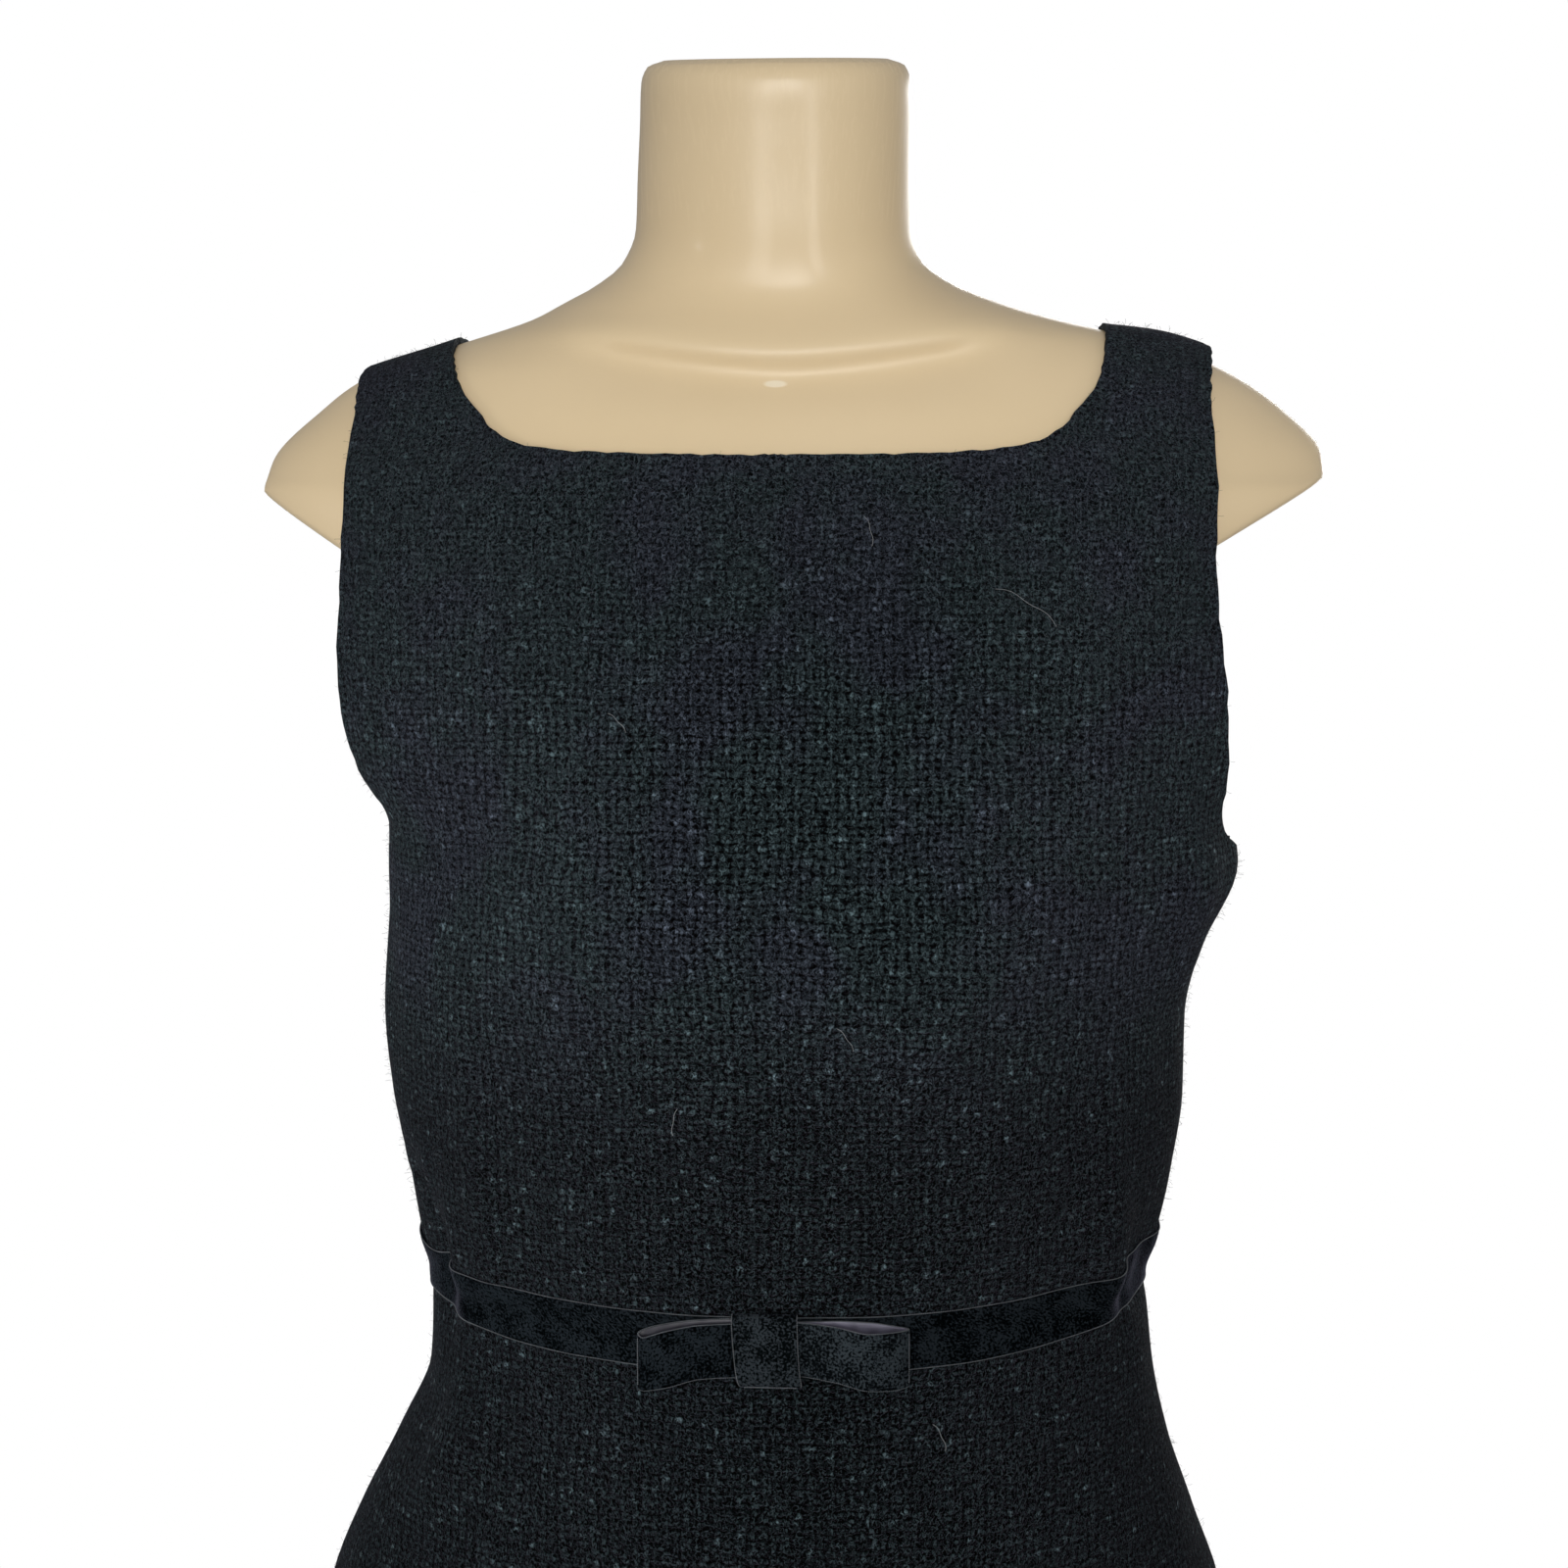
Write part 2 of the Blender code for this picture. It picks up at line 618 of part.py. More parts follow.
def add_ply_strip(name, edges, wall, material, collection):
    """A strip of ribbon between two edge curves, with its wall set inwards by Solidify."""
    bm = bmesh.new()
    columns = [[bm.verts.new(Vector(p) * MM) for p in pair] for pair in edges]
    for a, b in zip(columns, columns[1:]):
        bm.faces.new([a[0], b[0], b[1], a[1]])
    obj = make_object(name, bm, material, collection)
    solid = obj.modifiers.new("Ribbon", "SOLIDIFY")
    solid.thickness = wall * MM
    solid.offset = 0.0
    solid.use_even_offset = True
    obj.data.shade_smooth()
    return obj


def add_loop(name, rows, material, collection):
    steps = range(len(rows))
    lines = {field: curve([(i, getattr(rows[i], field)) for i in steps]) for field in Ply._fields[1:]}
    edges = []
    for k in range(LOOP_STEPS + 1):
        s = (len(rows) - 1) * k / LOOP_STEPS
        x = BOW_X + lines["x"](s)
        top, low = lines["top"](s), lines["low"](s)
        face = min(ribbon_face_y(x, z) for z in (top, low))
        edges.append([(x, face - lines["out"](s), z) for z in (top, low)])
    add_ply_strip(name, edges, BOW_WALL, material, collection)


def add_bow_tab(material, collection):
    edges = []
    for row in TAB:
        face = ribbon_face_y(BOW_X, WAIST_FRONT_Z)
        edges.append([(BOW_X + x, face - row.out, row.z) for x in (row.right, row.left)])
    add_ply_strip("bow_tab", edges, TAB_WALL, material, collection)


# Zip


def zip_frame():
    """Where the slider sits: a frame on the top cell of the centre back seam, with its Y out of the cloth."""
    top = BACK_NECKLINE.bottom_z
    cell = (top - WAIST_BACK_Z - RIBBON_WIDTH / 2) / (BODY_ROWS - 1)
    above = DRESS.at(180, top)
    up = (above - DRESS.at(180, top - cell)).normalized()
    middle = above - up * (SLIDER_TOP_BELOW_EDGE + SLIDER_SIZE[2] / 2)
    tilt = math.atan2(-up.y, up.z)
    return Matrix.Translation(middle * MM) @ Matrix.Rotation(tilt, 4, "X")


def add_block(bm, size, centre):
    made = bmesh.ops.create_cube(bm, size=1.0)
    for vert in made["verts"]:
        vert.co = Vector([(vert.co[k] * size[k] + centre[k]) * MM for k in range(3)])


def add_zip(material, collection, cutters):
    frame = zip_frame()
    thick, tall = SLIDER_SIZE[1], SLIDER_SIZE[2]
    bm = bmesh.new()
    add_block(bm, SLIDER_SIZE, (0, SLIDER_GAP + thick / 2, 0))
    slider = make_object("zip_slider", bm, material, collection)
    face = SLIDER_GAP + thick
    pin_z = tall / 2 - LUG_SIZE[2] / 2
    for way in (-1, 1):
        bm = bmesh.new()
        add_block(bm, LUG_SIZE, (way * LUG_X, face + LUG_SIZE[1] / 2 - 0.4, pin_z))
        lug = make_object(f"lug_{'left' if way < 0 else 'right'}", bm, material, cutters)
        lug.hide_render = True
        lug.display_type = "WIRE"
        lug.matrix_world = frame
        join = slider.modifiers.new("Lug", "BOOLEAN")
        join.operation = "UNION"
        join.object = lug
    slider.matrix_world = frame

    outline = [
        (-TAB_NECK_WIDTH / 2, 0.7),
        (TAB_NECK_WIDTH / 2, 0.7),
        (TAB_NECK_WIDTH / 2, -3.0),
        (TAB_WIDTH / 2, -TAB_LENGTH * 0.62),
        (TAB_WIDTH / 2, -TAB_LENGTH * 0.86),
        (TAB_WIDTH * 0.32, -TAB_LENGTH),
        (-TAB_WIDTH * 0.32, -TAB_LENGTH),
        (-TAB_WIDTH / 2, -TAB_LENGTH * 0.86),
        (-TAB_WIDTH / 2, -TAB_LENGTH * 0.62),
        (-TAB_NECK_WIDTH / 2, -3.0),
    ]
    bm = bmesh.new()
    bm.faces.new([bm.verts.new(Vector((x, 0, z)) * MM) for x, z in outline])
    tab = make_object("zip_pull_tab", bm, material, collection)
    solid = tab.modifiers.new("Plate", "SOLIDIFY")
    solid.thickness = TAB_THICK * MM
    solid.offset = 0.0
    tab.matrix_world = frame @ Matrix.Translation(Vector((0, face + PIN_OUT, pin_z)) * MM)


# Form and stand


def arm_limit(side, z):
    """The widest the form may be at a height, past the slanted ends of its arms."""
    tip = ARM_TIP_Z[side]
    if z >= tip:
        return ARM_TIP_X
    slant = math.tan(math.radians(ARM_FACE_DEGREES))
    return max(ARM_TIP_X - (tip - z) / slant, ARMPIT_X + 4)


def form_point(turn, z):
    point = FORM.at(turn, z)
    point += FORM.normal(point) * FORM.swell(point)
    side = -1 if point.x < 0 else 1
    limit = arm_limit(side, z) - ARM_FACE_ROUND
    over = abs(point.x) - limit
    if over > 0:
        point.x = side * (limit + ARM_FACE_ROUND * (1 - math.exp(-over / ARM_FACE_ROUND)))
    return point


def form_heights():
    """Even rows up the form, with the table's own rows kept where the shoulders are flat."""
    rows = [ring.z for ring in FORM_RINGS]
    heights = [rows[0]]
    for low, high in zip(rows, rows[1:]):
        parts = max(1, round((high - low) / FORM_ROW_HEIGHT))
        heights += [mix(low, high, k / parts) for k in range(1, parts + 1)]
    return heights


def add_form(material, collection):
    bm = bmesh.new()
    loops = []
    for z in form_heights():
        turns = [360.0 * k / FORM_COLUMNS for k in range(FORM_COLUMNS)]
        turns = [turn if turn <= 180 else turn - 360 for turn in turns]
        loops.append([bm.verts.new(form_point(turn, z) * MM) for turn in turns])
    for low, high in zip(loops, loops[1:]):
        for k in range(FORM_COLUMNS):
            after = (k + 1) % FORM_COLUMNS
            bm.faces.new([low[k], low[after], high[after], high[k]])
    bm.faces.new(list(reversed(loops[0])))
    bm.faces.new(loops[-1])
    obj = make_object("form_torso", bm, material, collection)
    obj.data.shade_smooth()
    obj.data.set_sharp_from_angle(angle=math.radians(50))


def add_turned(name, profile, material, collection):
    """A turned piece from (radius, z) points that run down its outside from the axis to the axis."""
    bm = bmesh.new()
    points = [bm.verts.new(Vector((radius, 0, z)) * MM) for radius, z in profile]
    for a, b in zip(points, points[1:]):
        bm.edges.new((a, b))
    obj = make_object(name, bm, material, collection)
    screw = obj.modifiers.new("Turn", "SCREW")
    screw.axis = "Z"
    screw.steps = TURNED_STEPS
    screw.render_steps = TURNED_STEPS
    screw.use_merge_vertices = True
    screw.merge_threshold = 0.00005
    obj.data.shade_smooth()
    return obj


def add_stand(materials, collection):
    top = FORM_RINGS[0].z - SEAM_GAP
    foot = BASE_HEIGHT + SEAM_GAP
    pole = (
        (0, top),
        (FLANGE_RADIUS, top),
        (FLANGE_RADIUS, top - FLANGE_HEIGHT),
        (POLE_RADIUS, top - FLANGE_HEIGHT),
        (POLE_RADIUS, foot + COLLAR_HEIGHT + 6),
        (COLLAR_RADIUS - 6, foot + COLLAR_HEIGHT),
        (COLLAR_RADIUS, foot + COLLAR_HEIGHT - 8),
        (COLLAR_RADIUS, foot),
        (0, foot),
    )
    add_turned("stand_pole", pole, materials["steel"], collection)
    base = (
        (0, BASE_HEIGHT),
        (BASE_RADIUS - BASE_EDGE, BASE_HEIGHT),
        (BASE_RADIUS - 0.3 * BASE_EDGE, BASE_HEIGHT - 0.3 * BASE_EDGE),
        (BASE_RADIUS, BASE_HEIGHT - BASE_EDGE),
        (BASE_RADIUS, 1.0),
        (BASE_RADIUS - 1.0, 0),
        (0, 0),
    )
    add_turned("stand_base", base, materials["steel"], collection)


def make_material(name, colour, roughness, metallic):
    material = bpy.data.materials.new(name)
    material.use_nodes = True
    shader = material.node_tree.nodes["Principled BSDF"]
    shader.inputs["Base Color"].default_value = (*colour, 1)
    shader.inputs["Roughness"].default_value = roughness
    shader.inputs["Metallic"].default_value = metallic
    return material


def main():
    for obj in list(bpy.data.objects):
        bpy.data.objects.remove(obj)
    dress = bpy.data.collections.new("sheath_dress")
    bpy.context.scene.collection.children.link(dress)
    cutters = bpy.data.collections.new("joined_shapes")
    bpy.context.scene.collection.children.link(cutters)
    materials = {
        "boucle": make_material("boucle", (0.010, 0.013, 0.016), 0.9, 0),
        "velvet": make_material("velvet", (0.006, 0.007, 0.009), 0.85, 0),
        "form": make_material("form_plastic", (0.66, 0.52, 0.36), 0.4, 0),
        "steel": make_material("brushed_steel", (0.55, 0.55, 0.56), 0.35, 1),
        "zip": make_material("zip_enamel", (0.012, 0.012, 0.014), 0.35, 0),
    }
    add_dress(materials, dress)
    add_waist_ribbon(materials["velvet"], dress)
    add_loop("bow_loop_left", LEFT_LOOP, materials["velvet"], dress)
    add_loop("bow_loop_right", RIGHT_LOOP, materials["velvet"], dress)
    add_bow_tab(materials["velvet"], dress)
    add_zip(materials["zip"], dress, cutters)
    add_form(materials["form"], dress)
    add_stand(materials, dress)


main()
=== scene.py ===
"""Looks of a sleeveless bouclé sheath dress on a cream dress form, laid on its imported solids.

Tables and sizes are in millimetres, as in the solids' source, and MM turns them to metres. +Z is up, the front
faces -Y, and a turn of 0 degrees is the centre front, 90 the right side and 180 the centre back.
"""

import math
from collections import namedtuple

import bmesh
import bpy
import numpy as np
from mathutils import Matrix, Vector


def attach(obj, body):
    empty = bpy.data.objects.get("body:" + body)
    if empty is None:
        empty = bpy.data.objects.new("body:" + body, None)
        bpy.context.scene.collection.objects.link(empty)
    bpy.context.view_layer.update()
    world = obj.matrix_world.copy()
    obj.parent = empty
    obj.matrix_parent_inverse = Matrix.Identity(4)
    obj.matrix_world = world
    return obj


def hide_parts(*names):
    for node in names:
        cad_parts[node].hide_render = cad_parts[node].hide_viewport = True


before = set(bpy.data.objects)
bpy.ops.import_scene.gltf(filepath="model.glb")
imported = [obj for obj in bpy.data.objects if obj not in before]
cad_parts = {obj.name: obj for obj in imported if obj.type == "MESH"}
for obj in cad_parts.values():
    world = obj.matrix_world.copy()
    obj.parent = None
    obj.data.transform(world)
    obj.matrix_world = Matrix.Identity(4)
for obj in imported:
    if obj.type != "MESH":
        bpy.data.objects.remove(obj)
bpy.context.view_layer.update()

MM = 0.001

# Cloth
CLOTH = 2.0  # wall of a panel
SEAM_GAP = 0.32  # between two sewn pieces
REST_GAP = 0.9  # between the straps and the form under them

# Heights
HEM_Z = 471.0
WAIST_FRONT_Z = 1045.0
WAIST_SIDE_Z = 1054.0
WAIST_BACK_Z = 1050.0
UNDERARM_Z = 1221.0
ARM_TOP_Z = 1401.0  # where the panel's rows end at the armhole and the strap begins
ABOVE_ALL = 2000.0  # a height above the whole dress

# Columns and rows in half a bodice panel of the solids, and the column that runs up into the strap's neck edge
HALF_COLUMNS = 11
STRAP_COLUMN = 7
BODY_ROWS = 18

Section = namedtuple("Section", "name z left right front back side square", defaults=(0, 2.2))

CLOTH_SECTIONS = (
    Section("hem", 471, 193, 187, 112, 113),
    Section("knee", 600, 198, 191, 115, 116),
    Section("thigh", 720, 205, 196, 119, 121),
    Section("hip", 830, 210, 197, 122, 125),
    Section("high hip", 901, 199, 187, 122, 119),
    Section("belly", 936, 186, 173.7, 120, 109),
    Section("skirt yoke", 972, 168, 161.5, 117, 99),
    Section("skirt top", 1003, 153.8, 155, 114.5, 92),
    Section("ribbon low", 1030, 151.8, 152.3, 113.5, 87.5),
    Section("waist", 1046, 151.3, 150.0, 113.5, 86),
    Section("ribbon high", 1060, 155.4, 154.2, 114, 86),
    Section("over waist", 1090, 161.3, 160.8, 116, 87.5),
    Section("rib", 1122, 168.0, 165.3, 119.5, 90.5),
    Section("under bust", 1155, 170.2, 164.8, 123.5, 95),
    Section("bust", 1190, 167.3, 172.3, 127, 99.5),
    Section("underarm", 1221, 164.3, 185.2, 127.5, 103),
    Section("armhole foot", 1236, 165.0, 183.8, 126.5, 104.5),
    Section("armhole turn", 1262, 186, 192, 123.5, 106.8),
    Section("armhole low", 1294, 199.5, 196, 118, 107.8),
    Section("armhole mid", 1317, 203, 196.5, 113, 106.5),
    Section("chest", 1348, 207, 200, 103.5, 102.8),
    Section("high chest", 1371, 211, 207, 94.5, 100),
    Section("collar", 1395, 214, 212, 86, 96.5),
)

Ring = namedtuple("Ring", "name z left right front back side square lean", defaults=(0, 2.2, 0))

FORM_RINGS = (
    Ring("foot", 730, 178, 172, 106, 110),
    Ring("seat", 830, 196, 186, 113, 115),
    Ring("hip", 901, 186, 175, 112, 109),
    Ring("belly", 950, 166, 158, 108, 96),
    Ring("low waist", 1000, 147, 146, 103, 83),
    Ring("waist", 1046, 143, 142, 101, 76),
    Ring("rib", 1100, 151, 150, 105, 79),
    Ring("under bust", 1155, 156, 155, 112, 86),
    Ring("bust", 1195, 156, 158, 116, 92),
    Ring("underarm", 1235, 152, 156, 117, 96),
    Ring("side chest", 1270, 149, 153, 114.5, 99),
    Ring("armpit", 1300, 148, 150, 110, 101),
    Ring("arm root", 1321, 153, 152, 105.5, 101, 1, 2.2, 0),
    Ring("arm low", 1335, 196, 194, 102, 99, 2, 1.95, 0),
    Ring("arm mid", 1352, 214, 213, 97, 97, 3, 1.9, 0),
    Ring("arm wide", 1371, 223, 226, 88.5, 91, 4, 1.88, 0),
    Ring("arm tip", 1377, 220, 222, 86, 89.8, 4.7, 1.87, 0),
    Ring("arm high", 1387, 214.5, 218.5, 81.5, 88, 6, 1.86, 0),
    Ring("shoulder end", 1403, 197.5, 203, 75, 86, 8, 1.88, 0),
    Ring("shoulder low", 1416, 180, 185, 68, 84, 10, 1.95, 0),
    Ring("shoulder mid", 1429, 144.5, 156.5, 61, 80, 12, 2.0, 0),
    Ring("shoulder high", 1441, 107.5, 107.5, 56, 75, 12, 2.05, 0),
    Ring("neck root", 1448, 94, 84.5, 54.5, 71, 10, 2.05, 0.05),
    Ring("neck turn", 1455, 80.5, 67, 54, 66, 8, 2.05, 0.08),
    Ring("neck base", 1464, 69, 54.5, 55, 61, 4, 2.05, 0.11),
    Ring("neck low", 1477, 63, 50.5, 57.5, 57, 0, 2.05, 0.13),
    Ring("neck mid", 1498, 61.5, 50, 61, 51, -5, 2.05, 0.13),
    Ring("neck high", 1518, 60, 50, 65, 47, -9, 2.05, 0.14),
    Ring("neck end", 1534, 59, 49, 68, 44, -12, 2.05, 0.15),
    Ring("neck rim", 1540, 56.5, 46.5, 65.5, 41.5, -12, 2.05, 0.15),
    Ring("neck top", 1542.4, 50, 40, 59, 35, -12, 2.05, 0.15),
)

# The form's arms end in flat faces that slant in under the shoulder
ARM_TIP_X = 218.5
ARM_TIP_Z = {-1: 1370.0, 1: 1376.5}  # by side, -1 for the left
ARM_FACE_DEGREES = 29.5
ARM_FACE_ROUND = 4.0  # how softly the arm turns into its face
ARMPIT_X = 149.5

# The bust, on the form and on the cloth over it
Swell = namedtuple("Swell", "x z radius height")
FORM_BUST = Swell(78, 1195, 46, 8.5)
CLOTH_BUST = Swell(78, 1195, 50, 6.5)

# Edges cut in the bodice: the neck and the armhole, as widths from the middle at a height
Edge = namedtuple("Edge", "z front_left front_right back_left back_right")

ARMHOLE = (
    Edge(1221, 166.8, 186.4, 166.8, 186.4),
    Edge(1225, 164.3, 184.0, 163.5, 183.3),
    Edge(1236, 161.2, 176.6, 158.0, 173.5),
    Edge(1245, 162.8, 174.6, 156.5, 168.5),
    Edge(1254, 166.5, 174.9, 158.5, 167.0),
    Edge(1262, 170.4, 176.0, 162.0, 167.5),
    Edge(1278, 175.3, 175.2, 167.5, 167.5),
    Edge(1294, 177.0, 174.0, 170.0, 167.0),
    Edge(1317, 176.2, 170.7, 172.0, 167.0),
    Edge(1348, 174.5, 168.9, 172.5, 167.5),
    Edge(1371, 173.2, 169.1, 172.5, 168.5),
    Edge(1402, 174.0, 168.3, 172.5, 168.3),
    Edge(1410, 175.2, 168.6, 174.0, 168.6),
    Edge(1419, 175.6, 169.5, 175.6, 169.5),
    Edge(1425, 175.5, 170.2, 175.5, 170.2),
)

NECK = (
    Edge(1401, 118.2, 113.0, 112.0, 108.0),
    Edge(1405, 123.2, 117.5, 117.0, 112.0),
    Edge(1413, 129.3, 123.0, 124.0, 118.5),
    Edge(1421, 132.6, 125.5, 130.0, 123.5),
    Edge(1431, 136.5, 127.4, 136.5, 127.4),
    Edge(1438, 138.0, 128.0, 138.0, 128.0),
)

Neckline = namedtuple("Neckline", "bottom_z corner_z sharpness")
FRONT_NECKLINE = Neckline(1384.3, 1401.0, 7.0)
BACK_NECKLINE = Neckline(1398.0, 1409.0, 5.0)

# Soft folds of the cloth: ridges stand out and troughs go in
Fold = namedtuple("Fold", "name turn_top turn_low z_top z_low width height")

FOLDS = (
    Fold("left underarm ridge", -50, -76, 1290, 1190, 9, 3.0),
    Fold("right underarm ridge", 48, 74, 1275, 1150, 8, 4.0),
    Fold("left waist ridge", -46, -51, 1150, 1010, 8, 3.5),
    Fold("left waist trough", -66, -66, 1110, 1020, 8, -4.5),
    Fold("left hip ridge", -54, -50, 1040, 940, 8, 3.0),
    Fold("right waist ridge", 48, 61, 1130, 1025, 7, 4.5),
    Fold("right waist trough", 68, 76, 1100, 1020, 7, -4.0),
    Fold("left back ridge", -128, -122, 1120, 1000, 9, 3.0),
    Fold("right back ridge", 130, 124, 1110, 985, 9, 3.5),
    Fold("back waist trough", 163, 160, 1100, 1010, 10, -2.0),
    Fold("right skirt ridge", 62, 56, 760, 440, 13, 3.5),
    Fold("left skirt ridge", -64, -57, 740, 440, 13, 4.0),
    Fold("left back skirt ridge", -140, -134, 760, 440, 13, 4.0),
    Fold("right back skirt ridge", 138, 131, 720, 440, 13, 3.5),
)

# Ribbon round the waist
RIBBON_WIDTH = 22.0
RIBBON_WALL = 1.2

# Bow: each row is a place along one loop of ribbon, from the middle out along the back ply, round the end and back
# along the front ply. Out is how far it stands in front of the waist ribbon.
Ply = namedtuple("Ply", "name x out top low")
BOW_X = -3.0
BOW_WALL = 0.8

LEFT_LOOP = (
    Ply("back start", -0.9, 0.8, 1055.6, 1034.6),
    Ply("back quarter", -12, 1.0, 1055.6, 1034.2),
    Ply("back half", -26, 1.3, 1054.7, 1033.2),
    Ply("back three quarters", -38, 1.5, 1052.6, 1031.0),
    Ply("end back", -47, 1.7, 1049.8, 1027.8),
    Ply("end", -49.6, 3.1, 1048.2, 1026.7),
    Ply("end front", -47.6, 4.9, 1047.2, 1026.3),
    Ply("front three quarters", -38.5, 5.4, 1050.6, 1028.4),
    Ply("front half", -25, 4.4, 1053.6, 1032.4),
    Ply("front quarter", -12, 3.4, 1054.4, 1033.4),
    Ply("front start", -0.9, 2.6, 1054.6, 1033.8),
)

RIGHT_LOOP = (
    Ply("back start", 0.9, 0.8, 1054.6, 1034.2),
    Ply("back quarter", 12, 0.9, 1054.9, 1034.0),
    Ply("back half", 26, 1.0, 1055.2, 1033.2),
    Ply("back three quarters", 39, 1.4, 1054.6, 1032.0),
    Ply("end back", 50.5, 2.4, 1052.8, 1030.4),
    Ply("end", 54.6, 4.8, 1052.4, 1030.2),
    Ply("end front", 50.5, 8.6, 1052.8, 1030.2),
    Ply("front three quarters", 40, 10.2, 1052.8, 1030.6),
    Ply("front half", 27, 6.6, 1054.6, 1033.0),
    Ply("front quarter", 13, 3.4, 1055.4, 1034.4),
    Ply("front start", 0.9, 2.6, 1055.2, 1034.6),
)

# Tab round the middle of the bow: each row is a place down its front, with how far it stands out
TabRow = namedtuple("TabRow", "name z out left right")
TAB = (
    TabRow("top return", 1057.0, 0.4, -12.6, 11.6),
    TabRow("top", 1057.9, 2.6, -12.8, 11.8),
    TabRow("top turn", 1056.0, 4.7, -12.9, 11.9),
    TabRow("upper", 1050.0, 5.4, -12.6, 12.1),
    TabRow("middle", 1043.0, 5.7, -12.0, 12.4),
    TabRow("lower", 1035.5, 5.6, -11.2, 13.0),
    TabRow("bottom turn", 1031.0, 4.6, -10.2, 13.6),
    TabRow("bottom", 1029.8, 2.8, -9.6, 13.2),
    TabRow("bottom return", 1030.6, 0.9, -9.4, 12.8),
)

TAB_CLOTH_WIDTH = 24.5

# Slit at the bottom of the centre back seam
SLIT_TOP_Z = 660.0
SLIT_OPEN = 5.0

# Zip in the centre back seam: its slider and pull tab, at the top
SLIDER_SIZE = (6.4, 2.6, 9.0)
SLIDER_TOP_BELOW_EDGE = 5.0
SLIDER_GAP = 0.4
LUG_SIZE = (1.2, 2.4, 3.0)
LUG_X = 2.1
LUG_SUNK = 0.2  # how far the lugs start inside the slider
PIN_OUT = 1.5  # from the slider's face to the tab's pin
SLIDER_ROUND = 0.35
TAB_ROUND = 0.3
TAB_THICK = 0.9
TAB_NECK_WIDTH = 2.4
TAB_WIDTH = 5.4
TAB_LENGTH = 15.0

# Stand
BASE_RADIUS = 180.0
BASE_HEIGHT = 12.0
BASE_EDGE = 4.0
POLE_RADIUS = 14.0
COLLAR_RADIUS = 28.0
COLLAR_HEIGHT = 30.0
FLANGE_RADIUS = 48.0
FLANGE_HEIGHT = 6.0

# Finer grids than the solids have, for the same shapes
FINE_BODY_ROWS = 79
FINE_STRAP_ROWS = 24
FINE_SKIRT_ROWS = 84
FINE_COLUMNS = np.unique(np.concatenate([
    [0, 0.006, 0.016], np.linspace(0, STRAP_COLUMN / HALF_COLUMNS, 30),
    np.linspace(STRAP_COLUMN / HALF_COLUMNS, 1, 19), [0.985, 0.994]]))
RIBBON_COLUMNS = 170
LOOP_FINE_STEPS = 120
FORM_FINE_COLUMNS = 220
SOFT_BAND = (1402.0, 1480.0)  # heights where the form's rows are softened, from the shoulders to the neck
SOFT_EASE = 16.0
SOFT_OVER = 9.0  # each row there is a mean of those about this near

WALL_SHOWN = 2.5  # cloth with its turned edge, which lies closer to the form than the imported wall
RIM_ROUND = 0.95  # of the cloth's cut and turned edges
SEAM_DIP = 0.55  # how far a sewn seam draws the cloth in
SEAM_DIP_WIDTH = 3.2
SLIT_EASE = 60.0  # how far round from the slit the cloth gives way to it
STRAP_LIFT = {-1: 1.4, 1: 4.0}  # the straps stand off the form at the armhole
STRAP_SWELL = {-1: 0.0, 1: 1.0}  # and less across their middle
STRAP_CORNER = 3.6  # rounding of the strap where the armhole meets the shoulder seam
RIM_BUMP = 0.4  # how far single yarns push a cut edge out or in
RIBBON_ROUND = 0.35
BOW_ROUND = 0.25
LEFT_WAIST_DROP = 3.0  # the ribbon sits lower at the left side than at the right
RIBBON_PINCH = 4.5  # the ribbon narrows where the left waist folds in
PINCH_TURN = -71.0
PINCH_SPREAD = 9.0
RIBBON_EDGE_SUNK = 0.35  # the ribbon's edges lie closer to the cloth than its middle
RIBBON_RIPPLE, RIBBON_RIPPLES = 0.12, 31  # height of its ripples, and how many go round
BACK_ON_CLOTH = 1700.0  # where the back is cut from the flat cloth, clear of the front
SKIRT_ON_CLOTH = -2.6  # and the skirt, so that its weave doesn't run on from the bodice's


